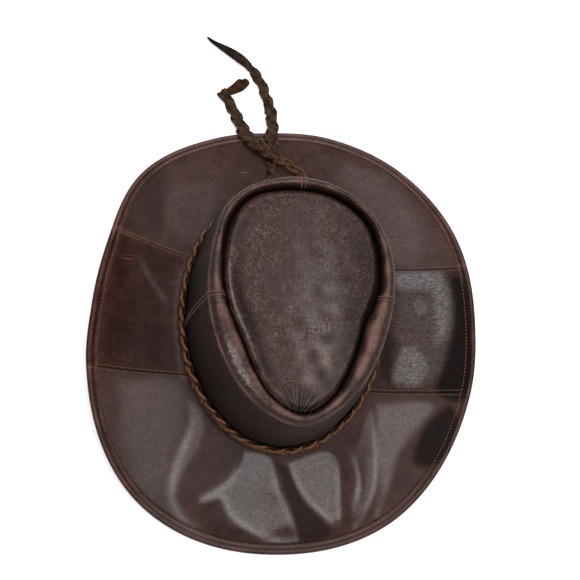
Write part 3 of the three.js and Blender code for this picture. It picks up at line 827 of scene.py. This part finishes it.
surface = heading(tip_degrees)[None] * (edge_reach[None] * tip_shares[:, None])[..., None] + CREST_MIDDLE
height = CREST_Z - TIP_SINK + TIP_DOME * dome - TIP_TURN_DOWN * turn
from_edge = edge_reach[None] * (1 - tip_shares[:, None])
dimple = 0
for x, y, depth, spread in TIP_DIMPLES:
    away = np.hypot(surface[..., 0] / CREST_HALF_LENGTH - x, surface[..., 1] / CREST_HALF_LENGTH - y)
    dimple = dimple + TIP_DIMPLE * depth * hill(away, 0, spread)
pillow = read_round(TIP_PILLOW, 1, tip_degrees)[None]
swell = 0.55 * hill(from_edge, 3.2, 2.6) - 0.6 * hill(from_edge, 11, 5.5)
gather_away = np.linalg.norm((surface - GATHER)[..., :2], axis=2)
gather_angle = np.arctan2(surface[..., 0] - GATHER[0], surface[..., 1] - GATHER[1])
lumps = 0.22 * even_noise(surface[..., :2], 22, 6) + 0.05 * even_noise(surface[..., :2], 5, 7)
surface[..., 2] = height[:, None] - dimple * (1 - tip_shares[:, None] ** 4)
surface[..., 2] += (pillow * swell + lumps) * (1 - tip_shares[:, None] ** 8)
foot = crest_point(tip_degrees, 1 - 0.05 / rim_width, CREST_Z - GROOVE_DEPTH)
lip = [surface[-1] + (foot - surface[-1]) * (share, share, share**0.8) for share in LIP_ROWS]
surface = np.concatenate([surface, lip])
up = -facing(surface)
up[0] = (0, 0, 1)
top_rows = len(tip_shares)
lip_rows = len(LIP_ROWS)
kept_rows = [np.arange(0, top_rows, 3), np.arange(top_rows - 1, len(surface))]
keep = np.unique(np.concatenate(kept_rows))
inside = (surface - up * CROWN_LEATHER)[keep]
inside[:, :, 2] = np.minimum(inside[:, :, 2], surface[keep][:, :, 2] - 0.4)
around = np.concatenate([gather_angle, np.tile(gather_angle[-1:], (lip_rows, 1))])
outwards = np.concatenate([gather_away, np.tile(gather_away[-1:], (lip_rows, 1))])
lip_zeros = np.zeros((lip_rows, len(tip_degrees)))
in_from_edge = np.concatenate([from_edge, lip_zeros])
on_lip = np.concatenate([np.zeros(top_rows), np.ones(lip_rows)])[:, None]
patchy = 0.7 + 0.4 * even_noise(surface[..., :2], 9, 30)
pillow_rows = np.concatenate([np.repeat(pillow, top_rows, axis=0), lip_zeros])
# Painted highlight along the pillowed ridge inside the groove, which also adds polish there
ridge_highlight = hill(in_from_edge, 2.4, 1.5) * pillow_rows
front_wear = hill(np.hypot(surface[..., 0] - 14, surface[..., 1] + 52), 0, 26)
middle_light = np.exp(-((surface[..., 0] - 18) / 24) ** 2 - ((surface[..., 1] + 20) / 62) ** 2)
wear_and_highlight = (0.5 * ridge_highlight + 0.45 * front_wear) * patchy
valley = hill(in_from_edge, 9.5, 4.5) * pillow_rows / 2
shade = ease(-in_from_edge, -0.9, 0.1) * 0.7 + on_lip
shade = shade + 0.4 * ease(surface[..., 0], 16, 48) + 0.85 * valley
marks = {
    "lay": grid_of(around * 75, outwards, 0) / 1000,
    "wear_and_highlight": np.clip(wear_and_highlight, 0, 1),
    "shade": np.clip(shade, 0, 1),
    "polish": np.clip(0.14 + 0.4 * ridge_highlight + 0.58 * middle_light * patchy, 0, 1),
    "gather": np.exp(-((outwards / GATHER_REACH) ** 3)),
}
crown_tip = panel_piece("crown_tip_leather", surface, inside, marks, tip_leather, ring=True)
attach(crown_tip, "root")
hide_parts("crown_tip")


# Brim: four pieces of stout glossy leather, seamed across, that fall to the front and back and curl up at
# the sides. The edge is rolled round a wire and held by a row of stitches, and wear has left soft folds.
BRIM_WIDTH = 85
SIDE_RISE = 30
BRIM_SAG = 4.5
BRIM_WAVE_HEIGHT = 1.6
EDGE_BEAD = 4.4
EDGE_FLATTEN = 1.3
STITCH_INSET = 7.5
PUCKER_PITCH = 4.1
RIM_MM_PER_DEGREE = 2.55
BACK_LEFT_SEAM = 152.5
# Compass angle, and the brim's width there as a share
BRIM_OUTLINE = [
    (-165, 0.967), (-130, 1.11), (-90, 0.99), (-55, 1.088), (-20, 1.028), (0, 0.984), (30, 1.022), (52, 0.97),
    (75, 0.845), (92, 0.775), (108, 0.83), (133, 0.96), (157, 0.873), (178, 0.885),
]
# Waves of the edge: compass angle, height as a share, and half width in degrees
BRIM_WAVES = [(-118, 1, 12), (-96, -0.8, 9), (-72, 0.9, 10), (-48, -1, 14), (5, 1, 16), (172, -0.9, 18)]
# Compass angles of each panel's two seams at the rim, then at the crown
BRIM_PANELS = [
    ("brim_panel_right", -20, 17, -41, 33), ("brim_panel_back", 17, BACK_LEFT_SEAM, 33, 145),
    ("brim_panel_left", BACK_LEFT_SEAM, 195.5, 145, 214), ("brim_panel_front", 195.5, 340, 214, 319),
]
# Folds left in the brim: height in millimetres, breadth to the left and right of the crest as it is drawn,
# and the crest's line from the crown outwards
BRIM_FOLDS = [
    (0.8, 26, 9, [(-29, -104), (-35, -122), (-47, -136), (-63, -146), (-74, -152)]),
    (0.7, 9, 26, [(-66, -148), (-49, -146), (-40, -156), (-32, -168), (-17, -176), (4, -180)]),
    (1.1, 9, 24, [(-7, -112), (-2, -138), (8, -159), (17, -180)]),
    (0.9, 7, 16, [(47, -110), (50, -135), (52, -160), (56, -172)]),
    (0.6, 5, 7, [(60, -110), (67, -133), (63, -158)]),
    (0.6, 6, 9, [(80, -108), (80, -132), (75, -149), (65, -167)]),
    (0.6, 8, 14, [(-84, -118), (-87, -143), (-82, -159), (-67, -170), (-46, -179)]),
    (0.7, 16, 16, [(-72, -72), (-72, -98), (-84, -116)]),
    (0.5, 8, 8, [(-118, 56), (-104, 28), (-87, 4)]),
    (0.6, 14, 20, [(92, -60), (100, -88), (104, -112)]),
]
# Each panel is cut from a hide of its own: dye, darker dye, sheen, and how much it is creased
BRIM_HIDES = {
    "brim_panel_right": ((0.046, 0.019, 0.016, 1), (0.018, 0.008, 0.007, 1), 0.1, 0.8),
    "brim_panel_back": ((0.072, 0.031, 0.027, 1), (0.034, 0.014, 0.012, 1), 0.14, 0.35),
    "brim_panel_left": ((0.055, 0.018, 0.014, 1), (0.024, 0.0085, 0.007, 1), 0.05, 0.3),
    "brim_panel_front": ((0.056, 0.021, 0.017, 1), (0.03, 0.011, 0.0095, 1), 0.15, 0.2),
}
BRIM_SCUFFS = [
    ((-0.1294, 0.0588, 0.022), 0.009, (0.2, 0.07, 0.04, 1)),
    ((-0.1234, 0.0398, 0.02), 0.009, (0.18, 0.065, 0.04, 1)),
    ((-0.0324, 0.1388, 0.012), 0.006, (0.16, 0.065, 0.05, 1)),
]
# Places polished by handling: strength, softness of the border in millimetres, and the outline
BRIM_POLISH = [
    (0.34, 20, [(-133, -54), (-87, -53), (-77, -80), (-85, -112), (-91, -143), (-84, -161), (-119, -128)]),
    (0.45, 6, [
        (-77, -66), (-65, -77), (-63, -98), (-78, -127), (-85, -143), (-89, -128), (-83, -107), (-74, -89),
    ]),
    (0.85, 3, [
        (-29, -109), (-9, -113), (-4, -127), (1, -147), (10, -165), (17, -180), (2, -182), (-22, -172),
        (-38, -159), (-45, -145), (-59, -150), (-64, -148), (-41, -132), (-32, -120),
    ]),
    (0.9, 3, [(7, -118), (38, -108), (48, -119), (49, -146), (50, -169), (37, -158), (22, -145), (12, -131)]),
    (0.55, 4, [(62, -110), (77, -72), (80, -118), (75, -148), (62, -171), (60, -149), (66, -126)]),
    (0.8, 9, [
        (82, -69), (112, -66), (128, -69), (119, -83), (101, -106), (90, -138), (80, -160), (78, -118),
    ]),
    (0.95, 13, [(99, 45), (120, 47), (139, 46), (141, 30), (120, 28), (102, 30)]),
    (0.8, 14, [(126, 42), (144, 38), (145, 4), (138, -18), (128, -18), (131, 4)]),
    (0.9, 9, [(112, 20), (121, 22), (127, 13), (117, 6)]),
    (1.0, 10, [(104, -18), (117, -21), (126, -36), (116, -51), (97, -50), (96, -35)]),
    (0.4, 18, [(101, 44), (140, 44), (137, -40), (98, -44)]),
    (0.34, 26, [(12, 118), (20, 164), (62, 152), (108, 120), (128, 74), (104, 50), (66, 84), (26, 108)]),
    (0.2, 14, [(-100, 116), (-47, 122), (-50, 104), (-72, 65), (-93, 75), (-102, 95)]),
    (0.3, 7, [(-80, 49), (-87, 32), (-89, 2), (-84, -44), (-78, -50), (-81, -6), (-82, 27)]),
]
# Places darkened with painted shade: strength, softness and outline
BRIM_PAINTED_SHADE = [
    (1.2, 9, [(144, 42), (158, 29), (158, -58), (132, -58), (141, -26), (147, 3)]),
    (1.2, 10, [(142, -68), (122, -87), (113, -115), (134, -115), (150, -85)]),
    (0.55, 5, [(91, -9), (102, -18), (93, -50), (84, -39)]),
    (0.65, 6, [(-3, -118), (6, -122), (22, -146), (44, -172), (20, -180), (8, -150)]),
    (0.4, 12, [(-133, 70), (-90, 49), (-100, 14), (-98, -44), (-140, -41), (-140, 32)]),
    (0.4, 16, [(-140, 72), (-130, 110), (-104, 132), (-98, 104), (-104, 72)]),
]
# Painted highlights along the crests of folds: strength, half width in millimetres, and the line
BRIM_CREST_HIGHLIGHTS = [
    (0.5, 2.2, [(-76, -72), (-71, -86), (-84, -125), (-87, -143), (-80, -159), (-67, -170), (-51, -178)]),
    (0.5, 1.8, [(-31, -114), (-39, -131), (-50, -140), (-62, -147), (-52, -144), (-44, -147)]),
    (0.75, 1.5, [(-65, -150), (-52, -144), (-44, -147), (-39, -158), (-26, -168), (-12, -175), (9, -181)]),
    (0.6, 1.1, [(-7, -116), (-2, -138), (6, -154), (13, -170), (18, -180)]),
    (0.7, 1.2, [(7, -115), (15, -133), (24, -147), (37, -158), (50, -171)]),
    (0.45, 0.9, [(43, -108), (48, -119), (49, -147), (51, -171)]),
    (0.5, 0.9, [(58, -105), (65, -123), (65, -142), (62, -153)]),
    (0.45, 1.0, [(77, -70), (80, -118), (75, -148), (62, -172)]),
    (0.14, 1.4, [(-122, 56), (-109, 33), (-90, 6)]),
    (0.42, 4.2, [(92, 39), (118, 40), (140, 37)]),
    (0.36, 3.8, [(131, 46), (136, 22), (137, -18)]),
    (0.34, 5.0, [(104, -16), (110, -28), (112, -40), (104, -52)]),
]
# Colour of the rubbed brim edge, also used for the painted highlights laid on with it
WORN_AND_LIT_EDGE = (0.17, 0.076, 0.055, 1)
brim_leathers = {
    name: leather(name + "_finish", dye, deep, WORN_AND_LIT_EDGE, BRIM_SCUFFS, sheen, creases, grain=0.8)
    for name, (dye, deep, sheen, creases) in BRIM_HIDES.items()
}


def inside_outline(places, outline, softness):
    """1 inside a flat outline and 0 outside it, with a soft border."""
    within = np.zeros(places.shape[:-1], bool)
    nearest = np.full(places.shape[:-1], 1e9)
    corners = smooth_route([(*corner, 0) for corner in outline + outline[:1]], 3)[1][:, :2]
    for start, end in zip(corners[:-1], corners[1:]):
        run = end - start
        share = np.clip(((places - start) @ run) / (run @ run + 1e-9), 0, 1)
        away = places - start - share[..., None] * run
        nearest = np.minimum(nearest, np.hypot(away[..., 0], away[..., 1]))
        spans = (start[1] > places[..., 1]) != (end[1] > places[..., 1])
        level = (places[..., 1] - start[1]) / (run[1] if abs(run[1]) > 1e-9 else 1e-9)
        within ^= spans & (places[..., 0] < start[0] + level * run[0])
    return ease(np.where(within, nearest, -nearest), -softness / 2, softness / 2)


def fold_heights(places, height, left, right, line):
    """Height of one fold over places on the brim: a crest along a line, falling away to either side."""
    line = smooth_route(np.column_stack([line, np.zeros(len(line))]), 3)[1][:, :2]
    nearest = np.full(places.shape[:-1], 1e9)
    side = np.zeros(places.shape[:-1])
    taper = np.zeros(places.shape[:-1])
    count = len(line) - 1
    for k in range(count):
        run = line[k + 1] - line[k]
        share = np.clip(((places - line[k]) @ run) / (run @ run), 0, 1)
        away = places - line[k] - share[..., None] * run
        distance = np.hypot(away[..., 0], away[..., 1])
        closer = distance < nearest
        nearest = np.where(closer, distance, nearest)
        side = np.where(closer, run[0] * away[..., 1] - run[1] * away[..., 0], side)
        taper = np.where(closer, (k + share) / count, taper)
    breadth = np.where(side > 0, left, right)
    ends = ease(taper, 0, 0.3) * (1 - ease(taper, 0.72, 1))
    crest = (np.hypot(nearest, 1.6) - 1.6) / breadth
    return height * ends * np.exp(-(crest**1.25))


def facing_up(points):
    """Directions square to a grid of surface points, on its upper side."""
    square = facing(points)
    return square * np.sign(square[..., 2:3])


# Rows of the brim inwards from its edge: round the bead, over the turned-in hem, and the flat part
BEAD_TURNS = np.radians([0, 16, 32, 48, 64, 80, 96, 112, 128, 144])
HEM_ROWS = [4.3, 4.7, 5.2, 5.8, 6.4, 6.9, 7.2, 7.5, 7.8, 8.1, 8.6, 9.3, 10.2, 11.4, 12.8, 14.4]
edge_in = np.concatenate([EDGE_BEAD / 2 * (1 - np.cos(BEAD_TURNS)), HEM_ROWS])
flat_rows = np.linspace(1, 0, 46)[1:]
edge_stitch_lines = []
brim_seam_lines = []
for name, first, last, crown_first, crown_last in BRIM_PANELS:
    length = (last - first) * RIM_MM_PER_DEGREE
    share_round = seam_steps(length, 1.05) / length
    degrees = first + (last - first) * share_round
    crown_degrees = crown_first + (crown_last - crown_first) * share_round
    width = BRIM_WIDTH * read_round(BRIM_OUTLINE, 1, degrees)
    inset = np.concatenate([
        edge_in[:, None] * np.ones_like(width),
        edge_in[-1] + (width - edge_in[-1]) * (1 - flat_rows[:, None]),
    ])
    share = 1 - inset / width
    foot = base_point(crown_degrees, SEAM_GAP)
    rim = base_point(degrees, SEAM_GAP) + heading(degrees) * width[:, None]
    middle = foot[None] + (rim - foot)[None] * share[..., None]
    sideways = np.abs(heading(degrees)[:, 0])
    edge_z = EDGE_BEAD / 2 - EDGE_FLATTEN + SIDE_RISE * sideways**3
    ripple = sum(
        BRIM_WAVE_HEIGHT * lift * hill(np.mod(degrees - at + 180, 360), 180, spread)
        for at, lift, spread in BRIM_WAVES
    )
    outwards = np.clip(share, 0, 1)
    crosswise = np.sin(math.pi * outwards)
    fall = (edge_z - BRIM_DROP) * outwards**1.2
    middle[..., 2] = BRIM_DROP + fall + (ripple - BRIM_SAG * sideways**2) * crosswise
    flat_place = middle[..., :2]
    folds = sum(fold_heights(flat_place, *fold) for fold in BRIM_FOLDS)
    folds = folds + 0.3 * even_noise(flat_place, 30, 12) + 0.06 * even_noise(flat_place, 11, 13)
    middle[..., 2] += folds * ease(inset, 7, 22) * ease(share, 0.0, 0.12)
    upright = (0, 0, 3) * (1 - ease(share, 0, 0.03))[..., None]
    up = unit(facing_up(middle) + upright)
    from_first, from_last = away_from_seams(middle)
    seam = np.minimum(from_first, from_last)
    bead = EDGE_BEAD / 2 * np.sqrt(np.clip(1 - (inset / (EDGE_BEAD / 2) - 1) ** 2, 0, 1))
    slope = 2.1 - 1.0 * ease(inset, 2.2, STITCH_INSET - 0.4) + 0.15 * ease(inset, STITCH_INSET, 10)
    sheet = slope - 0.4 * hill(inset, STITCH_INSET, 0.75)
    half = np.where(inset < EDGE_BEAD / 2, bead, np.minimum(np.maximum(bead, sheet), EDGE_BEAD / 2))
    pucker_place = grid_of(from_first, inset * 0.35)
    pulls = from_first * 2 * math.pi / PUCKER_PITCH + even_noise(pucker_place, 9, 2)
    pucker = 0.14 * np.sin(pulls) * hill(inset, 6, 2.6)
    pucker = pucker + 0.09 * even_noise(pucker_place, 3, 9) * hill(inset, 4, 3)
    groove = 0.4 * hill(seam, 0, 0.45) - 0.35 * hill(seam, 1.4, 1.4)
    top = middle + up * (half + (pucker - groove) * ease(inset, 0.5, 3))[..., None]
    under = middle - up * half[..., None]
    top[..., 2] = np.maximum(top[..., 2], 0)
    under[..., 2] = np.maximum(under[..., 2], 0)
    draw_in(top, middle)
    draw_in(under, middle)
    kept_rows = [np.arange(0, 10), np.arange(10, len(share), 2), [len(share) - 1]]
    keep = np.unique(np.concatenate(kept_rows))
    under[0] = top[0]
    patchy = 0.7 + 0.18 * even_noise(pucker_place, 14, 40)
    # Partly rubbed leather and partly painted highlight: a painted highlight along the top of the bead and
    # the tan strip over the turned-in hem, both stronger towards the back, and rubbed seams
    wear_and_highlight = 0.6 * hill(inset, 2.2, 1.5) * patchy + 0.75 * hill(inset, 6.2, 0.8) * patchy
    wear_and_highlight = wear_and_highlight * (1 + 0.5 * ease(np.sin(np.radians(degrees)), 0, 0.7))
    wear_and_highlight = wear_and_highlight + 0.3 * hill(seam, 1.1, 1.1) * patchy
    wear_and_highlight = wear_and_highlight + 0.4 * hill(seam, 0, 2.4) * patchy * hill(degrees, BACK_LEFT_SEAM, 12)
    shade = 0.25 * hill(seam, 0, 0.3) + 0.3 * hill(inset, 8.3, 0.6)
    shade = shade + 0.7 * hill(inset, 4.7, 0.6)
    shade = shade + 0.7 * (1 - ease(share, 0, 0.045))
    polish = 0.06 + 0.12 * (inset < 7)
    crest = np.zeros_like(wear_and_highlight)
    for strength, softness, outline in BRIM_POLISH:
        polish = np.maximum(polish, strength * inside_outline(flat_place, outline, softness))
    # Painted shade over the places in the table
    for strength, softness, outline in BRIM_PAINTED_SHADE:
        shade = np.maximum(shade, strength * inside_outline(flat_place, outline, softness))
    # Painted highlights along the fold crests, which also add polish
    for strength, breadth, line in BRIM_CREST_HIGHLIGHTS:
        crest = np.maximum(crest, strength * fold_heights(flat_place, 1, breadth, breadth, line))
    marks = {
        "lay": grid_of(from_first + degrees[0] * 3, inset, 0) / 1000,
        "wear_and_highlight": np.clip(wear_and_highlight, 0, 1),
        "shade": np.clip(shade * ease(inset, 2, 4), 0, 1),
        "polish": np.clip(polish + crest, 0, 1),
        "crest": np.clip(crest, 0, 1),
    }
    piece = panel_piece(name + "_leather", top, under[keep], marks, brim_leathers[name])
    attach(piece, "root")
    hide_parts(name)
    dressed = facing_up(top)
    stitch_row = int(np.argmin(np.abs(edge_in - STITCH_INSET)))
    edge_stitch_lines.append((top[stitch_row, 1:-1], dressed[stitch_row, 1:-1]))
    seam_rows = slice(stitch_row + 3, -4)
    for column in (SEAM_STITCH_COLUMN, -1 - SEAM_STITCH_COLUMN):
        brim_seam_lines.append((top[seam_rows, column], dressed[seam_rows, column]))


# Plaited band: three suede thongs plaited flat round the foot of the crown, dark on their worn faces and
# orange-tan along their cut edges. It leans on the wall and sits just above the brim.
BAND_HEIGHT = 11.5
BAND_THICKNESS = 5.2
BAND_REPEATS = 15
POINTS_A_REPEAT = 44
band_suede = suede(
    "band_suede", face=(0.16, 0.078, 0.046, 1), dark=(0.055, 0.03, 0.02, 1),
    warm=(0.2, 0.082, 0.038, 1), edge=(0.3, 0.13, 0.055, 1), edge_share=0.8,
)
band_degrees = np.linspace(0, 360, BAND_REPEATS * POINTS_A_REPEAT + 1)[:-1]
middle_z = BRIM_DROP + BRIM_LEATHER / 2 + BAND_HEIGHT / 2 + 1.1
wall_share = (middle_z - BRIM_DROP + BRIM_LEATHER / 2) / (CREST_Z - FOLD_DROP - BRIM_DROP + BRIM_LEATHER / 2)
level = np.full_like(band_degrees, wall_share)
climb = unit(wall_point(band_degrees, level + 0.02) - wall_point(band_degrees, level - 0.02))
along_wall = wall_point(band_degrees + 0.5, level) - wall_point(band_degrees - 0.5, level)
out = unit(np.cross(along_wall, climb))
centre = wall_point(band_degrees, level) + out * (0.9 + BAND_THICKNESS / 2)
steps = np.linalg.norm(np.roll(centre, -1, axis=0) - centre, axis=1)
band_along = np.concatenate([[0], np.cumsum(steps)[:-1]])
phase = band_along / steps.sum() * 2 * math.pi * BAND_REPEATS
loop_place = heading(band_degrees)[:, :2] * 40
ragged = 1 + 0.14 * even_noise(loop_place, 9, 77)
phase = phase + 0.5 * even_noise(loop_place, 14, 78)
depths = np.full_like(phase, 1.55)
thicknesses = np.full_like(phase, 2.7)
points, faces, marks = plait(
    centre, climb, out, phase, 3.9 * ragged, depths, 6.6 * ragged**2, thicknesses, True, 51,
)
band = mesh_piece("plaited_band", in_metres(points), faces, band_suede, marks, PLAIT_CRISP)
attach(band, "root")
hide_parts("braided_band")


# Stitches: waxed tan thread, in one row round the brim's rolled edge and in a row along each side of every
# seam. Each stitch is a short arc of thread that dips into the leather at both ends.
thread_finish = Finish("waxed_thread")
thread_twist = thread_finish.noise(thread_finish.place, 1600, 2)
thread_colour = thread_finish.mixed(
    thread_twist.between(0.4, 0.6), (0.08, 0.036, 0.026, 1), (0.23, 0.115, 0.078, 1)
)
thread = thread_finish.done(
    {"Base Color": thread_colour, "Roughness": 0.5 + thread_twist * 0.2}, {"IOR": 1.45},
)


def stitching_tree():
    """Lays stitches along lines of leather: each line is cut at the pitch, with a thread arc at each cut."""
    tree = bpy.data.node_groups.new("stitching", "GeometryNodeTree")
    tree.interface.new_socket("Lines", in_out="INPUT", socket_type="NodeSocketGeometry")
    for size in ("Pitch", "Stitch length", "Stitch height", "Thread radius"):
        tree.interface.new_socket(size, in_out="INPUT", socket_type="NodeSocketFloat")
    tree.interface.new_socket("Thread", in_out="INPUT", socket_type="NodeSocketMaterial")
    tree.interface.new_socket("Stitches", in_out="OUTPUT", socket_type="NodeSocketGeometry")

    def node(kind, values, settings=None):
        """Adds a node and gives its first output."""
        made = tree.nodes.new(kind)
        for setting, value in (settings or {}).items():
            setattr(made, setting, value)
        for slot, value in values.items():
            if isinstance(value, bpy.types.NodeSocket):
                tree.links.new(value, made.inputs[slot])
            else:
                made.inputs[slot].default_value = value
        return made.outputs[0] if made.outputs else None

    def times(amount, factor):
        return node("ShaderNodeMath", {0: amount, 1: factor}, {"operation": "MULTIPLY"})

    given = tree.nodes.new("NodeGroupInput").outputs
    half = times(given["Stitch length"], 0.5)
    dip = times(given["Stitch height"], -0.8)
    start = node("ShaderNodeCombineXYZ", {"X": times(half, -1.0), "Z": dip})
    top = node("ShaderNodeCombineXYZ", {"Z": times(given["Stitch height"], 2.6)})
    end = node("ShaderNodeCombineXYZ", {"X": half, "Z": dip})
    arc_values = {"Resolution": 5, "Start": start, "Middle": top, "End": end}
    arc = node("GeometryNodeCurveQuadraticBezier", arc_values)
    round_values = {"Resolution": 6, "Radius": given["Thread radius"]}
    profile = node("GeometryNodeCurvePrimitiveCircle", round_values)
    stitch_values = {"Curve": arc, "Profile Curve": profile, "Fill Caps": True}
    stitch = node("GeometryNodeCurveToMesh", stitch_values)
    line = node("GeometryNodeMeshToCurve", {"Mesh": given["Lines"]})
    cut_values = {"Curve": line, "Length": given["Pitch"]}
    cut = node("GeometryNodeResampleCurve", cut_values, {"mode": "LENGTH"})
    out_mark = node("GeometryNodeInputNamedAttribute", {"Name": "out"}, {"data_type": "FLOAT_VECTOR"})
    axes = {"Primary Axis": node("GeometryNodeInputTangent", {}), "Secondary Axis": out_mark}
    turn = node("FunctionNodeAxesToRotation", axes, {"primary_axis": "X", "secondary_axis": "Z"})
    placed_values = {"Points": cut, "Instance": stitch, "Rotation": turn}
    placed = node("GeometryNodeInstanceOnPoints", placed_values)
    real = node("GeometryNodeRealizeInstances", {"Geometry": placed})
    finished = node("GeometryNodeSetMaterial", {"Geometry": real, "Material": given["Thread"]})
    node("NodeGroupOutput", {"Stitches": finished})
    return tree


stitching = stitching_tree()


def sew(name, lines, pitch, length, height, radius):
    """Stitches along several lines of points and outward directions, in millimetres, as one plain mesh."""
    points = in_metres(np.vstack([line for line, _ in lines]))
    outward = np.vstack([direction for _, direction in lines])
    edges, offset = [], 0
    for line, _ in lines:
        edges += [(offset + k, offset + k + 1) for k in range(len(line) - 1)]
        offset += len(line)
    mesh = bpy.data.meshes.new(name + "_lines")
    mesh.from_pydata(points.tolist(), edges, [])
    mark = mesh.attributes.new("out", "FLOAT_VECTOR", "POINT")
    mark.data.foreach_set("vector", outward.astype(np.float32).ravel())
    carrier = bpy.data.objects.new(name + "_lines", mesh)
    bpy.context.collection.objects.link(carrier)
    modifier = carrier.modifiers.new("sewing", "NODES")
    modifier.node_group = stitching
    sizes = {"Pitch": pitch, "Stitch length": length, "Stitch height": height, "Thread radius": radius}
    wanted = {**{key: value / 1000 for key, value in sizes.items()}, "Thread": thread}
    for item in stitching.interface.items_tree:
        if item.in_out == "INPUT" and item.name in wanted:
            modifier[item.identifier] = wanted[item.name]
    evaluated = carrier.evaluated_get(bpy.context.evaluated_depsgraph_get())
    sewn = bpy.data.meshes.new_from_object(evaluated)
    sewn.name = name
    bpy.data.objects.remove(carrier)
    sewn.shade_smooth()
    piece = bpy.data.objects.new(name, sewn)
    bpy.context.collection.objects.link(piece)
    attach(piece, "root")


sew("brim_edge_stitches", edge_stitch_lines, 2.9, 1.6, 0.36, 0.44)
sew("brim_seam_stitches", brim_seam_lines, 2.5, 1.3, 0.34, 0.42)
sew("crown_seam_stitches", crown_seam_lines, 2.7, 1.5, 0.34, 0.42)


# Floor: a plain pale sweep under the hat.
floor_finish = Finish("pale_floor")
floor_paint = floor_finish.done(
    {"Base Color": (0.9, 0.9, 0.9, 1)},
    {"Roughness": 0.9, "Specular IOR Level": 0.1, "Emission Color": (1, 1, 1, 1), "Emission Strength": 0.5},
)
floor_points = np.array([(-30, -30, 0), (30, -30, 0), (30, 30, 0), (-30, 30, 0)], float)
floor = mesh_piece("floor", floor_points - (0, 0, 0.0002), [(0, 1, 2, 3)], floor_paint)

# Light: one big soft panel overhead towards the back and left, and an even pale surround.
panel_data = bpy.data.lights.new("soft_panel", "AREA")
panel_data.shape = "RECTANGLE"
panel_data.size = 1.3
panel_data.size_y = 2.3
panel_data.energy = 30
panel = bpy.data.objects.new("soft_panel", panel_data)
panel.location = (0.06, 0.3, 1.5)
bpy.context.collection.objects.link(panel)
world = bpy.data.worlds.new("pale_surround")
world.use_nodes = True
world.node_tree.nodes["Background"].inputs["Color"].default_value = (1, 1, 1, 1)
world.node_tree.nodes["Background"].inputs["Strength"].default_value = 0.16
bpy.context.scene.world = world
bpy.context.scene.view_settings.view_transform = "Standard"
